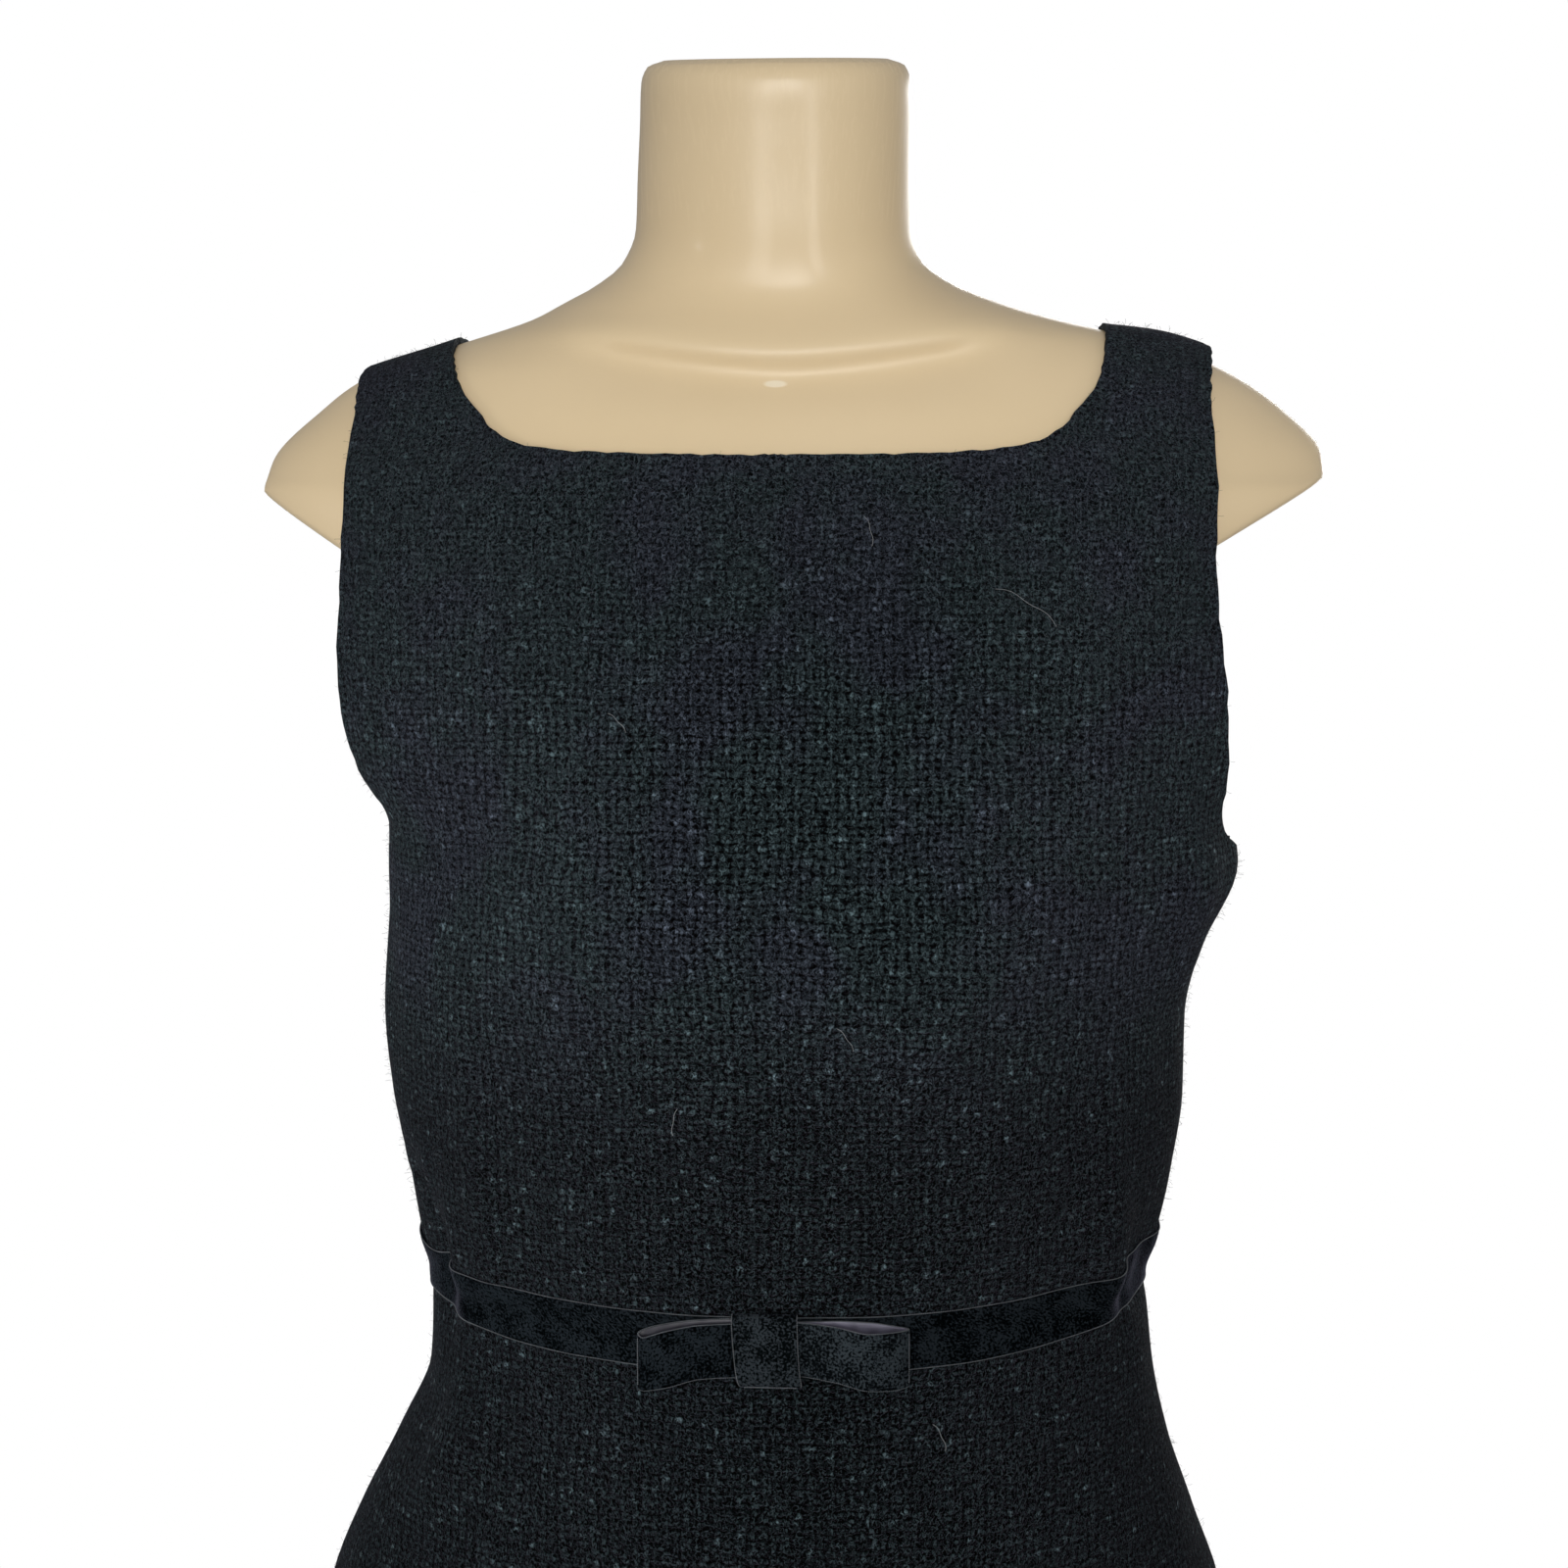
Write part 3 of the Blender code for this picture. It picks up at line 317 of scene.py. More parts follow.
# Small creases and pulls, too fine for the solids
CREASES = (
    Fold("left side pull, upper", -80, -72, 1262, 1180, 4.5, 1.2),
    Fold("left side pull, lower", -74, -66, 1215, 1120, 4.0, -0.9),
    Fold("left waist pinch, front", -58, -65, 1120, 1058, 1.9, 1.9),
    Fold("left waist pinch, side", -76, -68, 1116, 1056, 1.8, 1.7),
    Fold("left waist corner", -55, -56, 1104, 1012, 4.2, 2.4),
    Fold("left waist recess", -63, -64, 1108, 1010, 3.6, -2.4),
    Fold("left side plane", -42, -46, 1215, 1035, 3.4, 2.4),
    Fold("left hip plane", -50, -57, 1042, 925, 6.5, 2.2),
    Fold("right side plane", 49, 52, 1205, 1035, 3.6, 2.0),
    Fold("right waist corner", 54, 57, 1100, 1016, 3.6, 1.8),
    Fold("right waist recess", 62, 65, 1104, 1014, 3.4, -2.6),
    Fold("left front plane", -34, -39, 1125, 1065, 5.0, -0.9),
    Fold("right side pull, upper", 82, 70, 1255, 1165, 4.2, 1.3),
    Fold("right side pull, lower", 63, 72, 1190, 1098, 4.0, -1.2),
    Fold("right waist pinch, front", 55, 50, 1105, 1058, 2.4, 1.3),
    Fold("right front plane", 40, 45, 1120, 1065, 4.5, -1.0),
    Fold("right hip pleat", 48, 52, 1038, 985, 3.0, 1.1),
    Fold("left hip pleat", -55, -60, 1036, 972, 3.2, 1.0),
    Fold("belly, left of middle", -22, -14, 1032, 940, 6.0, 0.7),
    Fold("left back pull", -118, -112, 1190, 1085, 4.0, 1.2),
    Fold("left back pinch", -136, -131, 1105, 1062, 2.6, 1.5),
    Fold("left back hollow", -150, -157, 1150, 1062, 5.5, -1.4),
    Fold("right back pull", 120, 113, 1172, 1072, 4.0, 1.1),
    Fold("right back pinch", 142, 139, 1098, 1060, 2.4, 1.4),
    Fold("right back hip pleat", 146, 152, 1037, 978, 3.4, 1.0),
    Fold("left back hip pleat", -144, -148, 1038, 965, 3.0, 0.9),
    Fold("front skirt, left soft fall", -24, -19, 700, 440, 8, 1.6),
    Fold("front skirt, right soft fall", 27, 22, 650, 440, 7, 1.3),
    Fold("back skirt, left soft fall", -162, -166, 800, 560, 6, 1.5),
)

# Soft waves: how many in a turn of the dress, the height of one, where it starts, and how far it lifts the cloth
CLOTH_WAVES = ((5, 195, 0.3, 0.30), (7, -141, 1.9, 0.26), (11, 97, 4.4, 0.20), (16, -83, 2.6, 0.14))
WAVES_FADE_Z, WAVES_FADE = 1325.0, 40.0

Dent = namedtuple("Dent", "name x_start z_start x_end z_end width height")
LEFT_DENTS = (
    Dent("gather under the tab", -15, 1044, -27, 1046, 2.2, 0.35),
    Dent("soft hollow", -20, 1036, -36, 1034, 3.4, -0.35),
)
RIGHT_DENTS = (
    Dent("slanting crease", 17.5, 1053.6, 9.5, 1043.5, 1.1, -0.55),
    Dent("ridge beside the crease", 20.2, 1053.0, 12.5, 1042.0, 1.3, 0.35),
)
TAB_DENTS = (
    Dent("left gather", -8, 1052, -7, 1036, 1.8, -0.35),
    Dent("right gather", 4, 1050, 5, 1034, 2.2, -0.25),
)

# Pale hairs on the front of the dress, each from one point to another, with how far it curls aside
Hair = namedtuple("Hair", "x z x_end z_end curl")
STRAY_HAIRS = (
    Hair(33, 1361, 36, 1350, 1.2),
    Hair(82, 1334, 105, 1320, 2.4),
    Hair(-62, 1288, -55, 1281, 1.0),
    Hair(-36, 1139, -38, 1128, -0.9),
    Hair(24, 1172, 30, 1163, 1.1),
    Hair(61, 1012, 66, 1001, 1.2),
)

# Weave: space between yarns across and up the cloth, in mm, and how it is drawn
WARP_SPACING = 4.25
WEFT_SPACING = 2.95
WANDER_SPACING, WANDER = 38.0, 1.3  # slow wandering of the yarns, and how many cells it spans
SHAKE_SPACING, SHAKE = 4.2, 0.9
FIBRE_SPACING = (1.05, 1.3)
HOLE_DEPTH, COLUMN_GROOVE, ROW_GROOVE = 0.75, 0.80, 0.72  # as shares of the yarn's height, which sets the bump and also the painted shade in the gaps
GROOVE_BREAK = 3.6  # how far a groove runs before it breaks
PRESSED_HEIGHT = 0.6  # of all yarns at the top of the chest
SLUB_SHARE = 0.14  # share of the cells that are knots
PATCH_SPACING = 58.0
CHEST_BAND = (1.365, 1.285)  # heights, in metres, where the chest's look gives way to the look below it
# BUST_BAND: heights, in metres, over which the painted shade below the bust sets in
BUST_BAND = (1.21, 1.11)
CLOTH_DEPTH = 1.42  # how light the yarns are, taken together
BELOW_BUST_PAINTED_SHADE = 0.30  # painted shade: how light the yarns are drawn below the bust, as a share of that

# Loose fibres and hairs, and the ribs of the ribbon's edges: counts by the square metre, and sizes in metres
FUZZ_ON_BODICE = 42000
FUZZ_ON_SKIRT = 18000
FUZZ_LENGTH = 0.0026
FUZZ_THICKNESS = 0.00005
FUZZ_SEED = 11
FUZZ_BEND = ((0, 0, -0.12), (0.12, 0.05, 0.55), (0.62, 0.2, 0.72))  # a fibre's curl, as shares of its length
FUZZ_SLANT = 0.9  # radians that a fibre may lean
FUZZ_SIZES = (0.35, 1.25)  # shortest and longest, as shares of the length
HAIR_THICKNESS = 0.00009
Ribs = namedtuple("Ribs", "spacing width")
WAIST_RIBS = Ribs(0.0007, 0.0005)
BOW_RIBS = Ribs(0.0008, 0.00075)

# The form's collar bones, a soft step across its front: its line, how that climbs to the sides, and its shape
COLLAR_BONE_Z = 1419.4
COLLAR_BONE_STEP = 5.6  # how far it stands forward above the line, and lies back below it
COLLAR_BONE_CLIMB = 6.0  # at COLLAR_BONE_X from the middle
COLLAR_BONE_X = 57.0
COLLAR_BONE_SHARP = 4.8  # height in which most of the step happens
COLLAR_BONE_TALL = 19.0  # height over which it fades
COLLAR_BONE_END, COLLAR_BONE_FADE = 62.0, 34.0

FORM_CREAM_LOW = "#D5BE97"
FORM_CREAM_HIGH = "#DDC7A3"
MOULD_MARK = (-0.0022, -0.075, 1.4117)  # middle of a pale oval mark low on the neck, in metres
MARK_HALF_SIZE = (4.5, 40.0, 1.4)

# Camera, matched to the photo: lens in mm, place in metres, and how far it looks down and round in degrees
LENS = 57.87
CAMERA_PLACE = (0.05495, -1.0486, 1.371)
CAMERA_DOWN = 6.653
CAMERA_ROUND = 3.134

# Lights, in metres, watts and degrees. The strips are seen only as upright gleams on the form's neck.
ROOM_LIGHT = 0.34
Softbox = namedtuple("Softbox", "name place target size power spread lights_up", defaults=(180, True))
SOFTBOXES = (
    Softbox("front_softbox", (0.1, -2.35, 1.6), (0, 0, 1.36), (1.3, 1.3), 3.75, 45),
    Softbox("left_softbox", (-2.0, -1.1, 1.15), (0, 0, 1.06), (0.5, 0.5), 0.42, 12),
    Softbox("right_softbox", (2.1, -0.9, 1.5), (0, 0, 1.32), (0.7, 1.2), 0.10, 40),
    Softbox("left_strip", (-0.59, -2.12, 1.25), (0, 0, 1.5), (0.45, 1.5), 1.5, 60, False),
    Softbox("right_strip", (0.98, -1.97, 1.25), (0, 0, 1.5), (0.4, 1.5), 1.5, 60, False),
    Softbox("top_softbox", (0, -0.3, 3.0), (0, 0, 1.25), (1.6, 1.6), 0.2),
    Softbox("back_softbox", (0.5, 2.4, 1.4), (0, 0, 1.1), (1.8, 1.2), 6.5, 60),
)
FLOOR_RADII = (0.0, 200, 600, 1200, 1750)
FLOOR_Z = -0.2  # just under the stand


# Shapes that the cloth and the form share


def curve(points):
    """A smooth function of arrays through (z, value) pairs, which never swings past its rows."""
    zs, values = (np.array(column, float) for column in zip(*sorted(points)))
    slopes = np.diff(values) / np.diff(zs)
    before, after = slopes[:-1], slopes[1:]
    same_way = before * after > 0
    inner = np.where(same_way, 2 * before * after / np.where(same_way, before + after, 1), 0.0)
    tangents = np.concatenate([slopes[:1], inner, slopes[-1:]])

    def value(z):
        z = np.clip(z, zs[0], zs[-1])
        i = np.clip(np.searchsorted(zs, z, side="right") - 1, 0, len(zs) - 2)
        span = zs[i + 1] - zs[i]
        t = (z - zs[i]) / span
        rise = (3 - 2 * t) * t * t
        bend = span * t * (1 - t) * ((1 - t) * tangents[i] - t * tangents[i + 1])
        return values[i] * (1 - rise) + values[i + 1] * rise + bend

    return value


def mix(a, b, t):
    return a + (b - a) * t


def ease(t):
    t = np.clip(t, 0.0, 1.0)
    return t * t * (3 - 2 * t)


class Rings:
    """A body given by its rings, worked out for whole arrays of points."""

    def __init__(self, rows, bust):
        for field in ("left", "right", "front", "back", "side", "square", "lean"):
            setattr(self, field, curve([(row.z, getattr(row, field, 0.0)) for row in rows]))
        self.bust = bust

    def width(self, z, x):
        return np.where(np.asarray(x) < 0, self.left(z), self.right(z))

    def depth(self, z, way):
        front = self.front(z) + self.side(z)
        return np.where(np.asarray(way) < 0, front, self.back(z) - self.side(z))

    def at(self, turn, z):
        turn, z = np.broadcast_arrays(np.asarray(turn, float), np.asarray(z, float))
        power = 2 / self.square(z)
        s, c = np.sin(np.radians(turn)), np.cos(np.radians(turn))
        x = np.copysign(self.width(z, s) * np.abs(s) ** power, s)
        way = np.where(c > 0, -1.0, 1.0)
        y = self.side(z) + way * self.depth(z, way) * np.abs(c) ** power
        return np.stack([x, y, z + self.lean(z) * (y - self.side(z))], -1)

    def turn_at(self, x, z, way):
        q = np.minimum(np.abs(x) / self.width(z, x), 1.0)
        turn = np.degrees(np.arcsin(q ** (self.square(z) / 2)))
        return np.copysign(turn if way < 0 else 180 - turn, x)

    def level(self, points):
        x, y, z = np.moveaxis(points, -1, 0)
        z = z - self.lean(z) * (y - self.side(z))
        deep = y - self.side(z)
        n = self.square(z)
        return (np.abs(x) / self.width(z, x)) ** n + (np.abs(deep) / self.depth(z, deep)) ** n

    def normal(self, points):
        steps = 0.2 * np.eye(3)
        slope = [self.level(points + step) - self.level(points - step) for step in steps]
        slope = np.stack(slope, -1)
        return slope / np.linalg.norm(slope, axis=-1, keepdims=True)

    def swell(self, points):
        x, y, z = np.moveaxis(points, -1, 0)
        away = np.hypot(np.abs(x) - self.bust.x, z - self.bust.z)
        lift = self.bust.height * np.exp(-((away / self.bust.radius) ** 2))
        return np.where(y > self.side(z), 0.0, lift)


FORM = Rings(FORM_RINGS, FORM_BUST)
RAISE = CLOTH + REST_GAP


class Cloth(Rings):
    """The outside of the dress. Over the shoulders it is the form, raised by the cloth that lies on it."""

    def __init__(self, rows, bust):
        super().__init__(rows, bust)
        for field in ("left", "right", "front", "back", "side", "square"):
            more = RAISE if field in ("front", "back") else 0.0
            setattr(self, field, self.onto_form(field, more, rows[-2].z, rows[-1].z))

    def onto_form(self, field, more, low, high):
        own, form = getattr(self, field), getattr(FORM, field)
        return lambda z: mix(own(z), form(z - RAISE) + more, ease((z - low) / (high - low)))


DRESS = Cloth(CLOTH_SECTIONS, CLOTH_BUST)


def fold_height(turn, z, folds):
    """How far the folds and creases lift the cloth."""
    total = np.zeros(np.broadcast(turn, z).shape)
    for fold in folds:
        t = (z - fold.z_low) / (fold.z_top - fold.z_low)
        away = (turn - mix(fold.turn_low, fold.turn_top, t)) / fold.width
        along = np.where((t > 0) & (t < 1), np.sin(np.pi * np.clip(t, 0, 1)) ** 2, 0.0)
        total += fold.height * np.exp(-away * away) * along
    return total


def unevenness(turn, z):
    """Small soft waves, so that no stretch of loose cloth is quite even. They fade where it rests on the form."""
    total = 0.0
    for round_count, tall, start, height in CLOTH_WAVES:
        total = total + height * np.sin(np.radians(turn) * round_count + z * (math.tau / tall) + start)
    return total * (1 - ease((z - WAVES_FADE_Z) / WAVES_FADE))


def waist_z(turn):
    """Height of the waist seam: it rises to the sides, where the hips carry it."""
    middle = np.where(np.abs(turn) <= 90, WAIST_FRONT_Z, WAIST_BACK_Z)
    side = np.where(turn < 0, WAIST_SIDE_Z - LEFT_WAIST_DROP, WAIST_SIDE_Z)
    return mix(middle, side, np.abs(np.sin(np.radians(turn))) ** 2.2)


def cloth_points(turn, z, off=0.0):
    """Points on the outside of the dress, with their folds."""
    bare = DRESS.at(turn, z)
    lift = DRESS.swell(bare) + fold_height(turn, z, FOLDS + CREASES) + unevenness(turn, z) + off
    return bare + DRESS.normal(bare) * np.asarray(lift)[..., None]


# Cloth pieces


def link_object(name, data):
    obj = bpy.data.objects.new(name, data)
    bpy.context.scene.collection.objects.link(obj)
    return obj


def round_edges(obj, name, width, segments, sharp_degrees):
    bevel = obj.modifiers.new(name, "BEVEL")
    bevel.width = width * MM
    bevel.segments = segments
    bevel.limit_method = "ANGLE"
    bevel.angle_limit = math.radians(sharp_degrees)


class Pattern:
    """Grids of points with their place on the flat cloth, which make one piece."""

    def __init__(self):
        self.points, self.flat, self.quads, self.count = [], [], [], 0

    def add_grid(self, points, flat, rising):
        rows, columns = points.shape[:2]
        index = self.count + np.arange(rows * columns).reshape(rows, columns)
        ring = [index[:-1, :-1], index[:-1, 1:], index[1:, 1:], index[1:, :-1]]
        self.quads.append(np.stack(ring if rising else ring[::-1], -1).reshape(-1, 4))
        self.points.append(points.reshape(-1, 3))
        self.flat.append(flat.reshape(-1, 2))
        self.count += rows * columns

    def make(self, name, materials):
        points, flat = np.concatenate(self.points) * MM, np.concatenate(self.flat) * MM
        quads = np.concatenate(self.quads)
        mesh = bpy.data.meshes.new(name)
        mesh.from_pydata(points.tolist(), [], quads.tolist())
        mesh.uv_layers.new(name="cloth_m").uv.foreach_set("vector", flat[quads.ravel()].ravel())
        for material in materials:
            mesh.materials.append(material)
        bm = bmesh.new()
        bm.from_mesh(mesh)
        bmesh.ops.remove_doubles(bm, verts=bm.verts, dist=1e-6)
        bm.to_mesh(mesh)
        bm.free()
        mesh.shade_smooth()
        return link_object(name, mesh)


def give_wall(obj, wall, offset, round_by):
    """Gives a sheet its thickness, its second material on the back, and soft rims."""
    solid = obj.modifiers.new("Wall", "SOLIDIFY")
    solid.thickness = wall * MM
    solid.offset = offset
    solid.material_offset = 1
    round_edges(obj, "Soft rim", round_by, 3, 55)


def edge_curve(rows, side, way):
    field = ("front" if way < 0 else "back") + ("_left" if side < 0 else "_right")
    return curve([(row.z, getattr(row, field)) for row in rows])


def ridge_z(x):
    """Height of the cloth's shoulder ridge over widths x."""
    low, high = np.full(np.shape(x), 1398.0), np.full(np.shape(x), 1500.0)
    for _ in range(40):  # halved until it is exact
        middle = (low + high) / 2
        under = DRESS.width(middle, x) > np.abs(x)
        low, high = np.where(under, middle, low), np.where(under, high, middle)
    return low


def run_length(points, axes, axis):
    """Running length along one axis of a grid of points, counting only some coordinates."""
    steps = np.linalg.norm(np.diff(points[..., axes], axis=axis), axis=-1)
    start = np.zeros_like(np.take(steps, [0], axis=axis))
    return np.concatenate([start, np.cumsum(steps, axis=axis)], axis=axis)


def climb(z, way):
    """Length up the middle of the front or back, from the hem."""
    heights = np.arange(HEM_Z, 1440.0, 1.0)
    run = run_length(DRESS.at(0.0 if way < 0 else 180.0, heights), [1, 2], 0)
    return np.interp(z, heights, run)


def seam_dip(away):
    """Cloth draws in at a sewn seam."""
    return -SEAM_DIP * np.exp(-((away / SEAM_DIP_WIDTH) ** 2))


def to_turns(angle, side, way):
    return side * (angle if way < 0 else 180 - angle)


def open_centre(points, away, side):
    """Sets a back panel off the centre back seam, and opens the slit below it."""
    opened = SLIT_OPEN / 2 * ease((SLIT_TOP_Z - points[..., 2]) / (SLIT_TOP_Z - HEM_Z))
    points[..., 0] += side * (SEAM_GAP / 2 + opened) * (1 - ease(away / SLIT_EASE))


def bodice_half(pattern, side, way):
    """Half of a bodice panel, from the centre line to the side seam, the armhole and the shoulder seam."""
    neckline = FRONT_NECKLINE if way < 0 else BACK_NECKLINE
    armhole, neck = edge_curve(ARMHOLE, side, way), edge_curve(NECK, side, way)
    split = STRAP_COLUMN / HALF_COLUMNS

    def lean_angle(x, z):
        turn = np.abs(DRESS.turn_at(side * x, z, way))
        return turn if way < 0 else 180 - turn

    def row_edge(t):
        low = mix(waist_z(90.0) + RIBBON_WIDTH / 2, UNDERARM_Z, t / 0.5)
        high = mix(UNDERARM_Z, ARM_TOP_Z, (np.maximum(t - 0.5, 0) / 0.5) ** 1.6)
        return np.where(t <= 0.5, low, high)

    def row_z(t, f):
        start = waist_z(to_turns(0, side, way)) + RIBBON_WIDTH / 2
        return mix(mix(start, neckline.bottom_z, t), row_edge(t), f * f)

    edge_angle = lean_angle(armhole(ARM_TOP_Z), ARM_TOP_Z)
    corner_share = lean_angle(neck(neckline.corner_z), neckline.corner_z) / edge_angle
    t = np.linspace(0, 1, FINE_BODY_ROWS)[:, None]
    f = FINE_COLUMNS[None, :]
    edge = row_edge(t)
    last_angle = np.where(t <= 0.5, 90.0, lean_angle(armhole(edge), edge))
    share = mix(split, corner_share, t * t)
    inner = f <= split + 1e-9
    part = np.where(inner, share * f / split, mix(share, 1.0, (f - split) / (1 - split)))
    angle = last_angle * part
    x_share = np.clip(np.sin(np.radians(angle)) / np.sin(np.radians(last_angle * share)), 0, 1)
    sag = 0.22 * x_share**2.2 + 0.78 * x_share**8 if way < 0 else x_share**neckline.sharpness
    dip = mix(neckline.bottom_z, neckline.corner_z, sag)
    top = np.where(inner, dip, mix(neckline.corner_z, ARM_TOP_Z, (f - split) / (1 - split)))
    bottom = waist_z(to_turns(angle, side, way)) + RIBBON_WIDTH / 2
    z = row_z(t, f) + t**4 * (top - row_z(1, f)) + (1 - t) ** 4 * (bottom - row_z(0, f))
    angle, z = np.vstack([90.0 * f, angle]), np.vstack([0 * f, z])
    z[0] = waist_z(to_turns(angle[0], side, way)) + SEAM_GAP / 2

    turn = to_turns(angle, side, way)
    bare = DRESS.at(turn, z)
    round_run = run_length(bare, [0, 1], 1)
    flat = np.stack([side * round_run, climb(z, way)], -1)
    below_arm = (np.arange(len(z)) <= (FINE_BODY_ROWS + 1) // 2)[:, None]
    to_side = np.where(below_arm, round_run[:, -1:] - round_run, 99.0)
    dips = seam_dip(to_side) + (seam_dip(round_run) if way > 0 else 0.0)
    points = cloth_points(turn, z, dips)
    points[..., 1] += way * SEAM_GAP / 2 * (below_arm & (f == 1))
    if way > 0:
        open_centre(points, round_run, side)
    chance = np.random.default_rng(10 + way + 5 * side)
    bumps = chance.uniform(-RIM_BUMP, RIM_BUMP, len(FINE_COLUMNS) - 1)
    points[-1, 1:, 2] += bumps * (FINE_COLUMNS[1:] < split)
    points[:, -1, 0] += chance.uniform(-RIM_BUMP, RIM_BUMP, len(points)) * ~below_arm[:, 0]
    rising = (way < 0) == (side > 0)
    place = (0 if way < 0 else BACK_ON_CLOTH, 0)
    pattern.add_grid(points, flat + place, rising)

    # The strap, from the top row of the panel (k = 0) to the shoulder seam (k = 1)
    strap = np.flatnonzero(FINE_COLUMNS >= split - 1e-9)
    x_start, z_start = np.abs(bare[-1, strap, 0])[None, :], z[-1, strap][None, :]
    across = (x_start - x_start[:, :1]) / (x_start[:, -1:] - x_start[:, :1])
    k = np.linspace(0, 1, FINE_STRAP_ROWS + 1)[1:, None]
    short = (1 - k) ** 2
    neck_top, arm_top = (ridge_z(side * edge(ABOVE_ALL)) for edge in (neck, armhole))
    x_neck = neck(mix(neck_top, z_start[:, :1], short))
    x_arm = armhole(mix(arm_top, z_start[:, -1:], short)) - STRAP_CORNER * ease((k - 0.7) / 0.3) ** 2
    x = mix(x_neck, x_arm, across)
    z = mix(ridge_z(side * x), z_start, short)
    angle = lean_angle(x, z)
    angle[-1] = 90.0
    turn = to_turns(angle, side, way)
    bare_strap = np.concatenate([bare[-1:, strap], DRESS.at(turn, z)])
    up_run = run_length(bare_strap, [1, 2], 0)
    u = flat[-1:, strap, 0] + side * (np.abs(bare_strap[..., 0]) - x_start)
    v = flat[-1:, strap, 1] + up_run
    lift = STRAP_LIFT[side] * across**1.5 + STRAP_SWELL[side] * np.sin(np.pi * across)
    lift = ease((k - 0.2) / 0.8) * lift
    top_points = cloth_points(turn, z, lift + seam_dip(up_run[-1:] - up_run[1:]))
    top_points[-1, :, 1] += way * SEAM_GAP / 2
    for edge_column in (0, -1):
        top_points[:-1, edge_column, 0] += chance.uniform(-RIM_BUMP, RIM_BUMP, FINE_STRAP_ROWS - 1)
    rows = np.concatenate([points[-1:, strap], top_points])
    pattern.add_grid(rows, np.stack([u, v], -1) + place, rising)


def skirt_half(pattern, side, way):
    """Half of a skirt panel, from the centre line to the side seam, and from the hem to the waist seam."""
    f = FINE_COLUMNS[None, :]
    turn = to_turns(90.0 * f, side, way)
    t = 1 - (1 - np.linspace(0, 1, FINE_SKIRT_ROWS)[:, None]) ** 1.35
    z = mix(HEM_Z, waist_z(turn) - RIBBON_WIDTH / 2, t)
    z = np.vstack([z, waist_z(turn) - SEAM_GAP / 2])
    turn = np.broadcast_to(turn, z.shape)
    bare = DRESS.at(turn, z)
    round_run = run_length(bare, [0, 1], 1)
    dips = seam_dip(round_run[:, -1:] - round_run)
    if way > 0:
        dips = dips + seam_dip(round_run)
    points = cloth_points(turn, z, dips)
    points[:, -1, 1] += way * SEAM_GAP / 2
    if way > 0:
        open_centre(points, round_run, side)
    flat = np.stack([side * round_run, climb(z, way)], -1)
    pattern.add_grid(points, flat + (0 if way < 0 else BACK_ON_CLOTH, SKIRT_ON_CLOTH), (way < 0) == (side > 0))


def make_panels(boucle, lining):
    """The six panels of the dress."""
    made = {}
    for part, half in (("bodice", bodice_half), ("skirt", skirt_half)):
        for place, sides, way in (("front", (-1, 1), -1), ("back_left", (-1,), 1), ("back_right", (1,), 1)):
            pattern = Pattern()
            for side in sides:
                half(pattern, side, way)
            made[f"{part}_{place}"] = pattern.make(f"{part}_{place}_panel", [boucle, lining])
    return made


# Waist ribbon and bow


def make_waist_ribbon(velvet, satin):
    """The ribbon sewn over the waist seam, with the two lines that its selvedges follow."""
    turn = np.linspace(-180, 180, 2 * RIBBON_COLUMNS + 1)[None, :]
    row = np.linspace(-1, 1, 11)[:, None]
    pinch = RIBBON_PINCH * np.exp(-(((turn - PINCH_TURN) / PINCH_SPREAD) ** 2))
    z = waist_z(turn) + row * RIBBON_WIDTH / 2 - pinch * np.maximum(row, 0) ** 2
    turn = np.broadcast_to(turn, z.shape)
    ripple = RIBBON_RIPPLE * np.sin(np.radians(turn) * RIBBON_RIPPLES + row)
    off = SEAM_GAP + RIBBON_WALL - RIBBON_EDGE_SUNK * np.abs(row) ** 6 + ripple
    points = cloth_points(turn, z, off)
    run = run_length(points, [0, 1], 1)
    ends = np.zeros_like(run)
    ends[:, 0], ends[:, -1] = -SEAM_GAP, SEAM_GAP
    points[..., 0] += ends
    flat = np.stack([run, row * RIBBON_WIDTH / 2 + 0 * run], -1)
    pattern = Pattern()
    pattern.add_grid(points, flat, True)
    return pattern.make("velvet_waist_ribbon", [velvet, satin]), [points[0], points[-1]]


def ribbon_face_y(x, z):
    """How far forward the face of the waist ribbon is."""
    turn = DRESS.turn_at(x, z, -1)
    return DRESS.at(turn, z)[..., 1] - SEAM_GAP - RIBBON_WALL


def row_values(rows, s):
    """A table's columns as smooth lines, at places s that count its rows."""
    return {field: curve([(i, getattr(row, field)) for i, row in enumerate(rows)])(s) for field in rows[0]._fields[1:]}


def make_loop(name, rows, dents, materials):
    """A folded loop of the bow, with the lines that its selvedges follow."""
    s = np.linspace(0, len(rows) - 1, LOOP_FINE_STEPS)
    at = row_values(rows, s)
    x, top, low = BOW_X + at["x"], at["top"], at["low"]
    face = np.minimum(ribbon_face_y(x, top), ribbon_face_y(x, low))
    across = np.linspace(0, 1, 13)[:, None]
    z = mix(low, top, across)
    x = x + 0 * z
    front_ply = ease((s - 5.2) / 1.5)
    y = face - at["out"] + 0 * z
    for dent in dents:
        y = y - front_ply * dent_height(x, z, dent)
    points = np.stack([x, y, z], -1)
    run = run_length(points, [0, 1, 2], 1)
    pattern = Pattern()
    end_x = rows[len(rows) // 2].x
    pattern.add_grid(points, np.stack([run, (across - 0.5) * RIBBON_WIDTH + 0 * run], -1), end_x < 0)
    fold = int(np.argmax(np.abs(at["x"]))) + 2
    end_line = points[1:-1, fold] + [math.copysign(0.2, end_x), -0.35, 0]
    return pattern.make(name, materials), [points[0], points[-1], end_line]


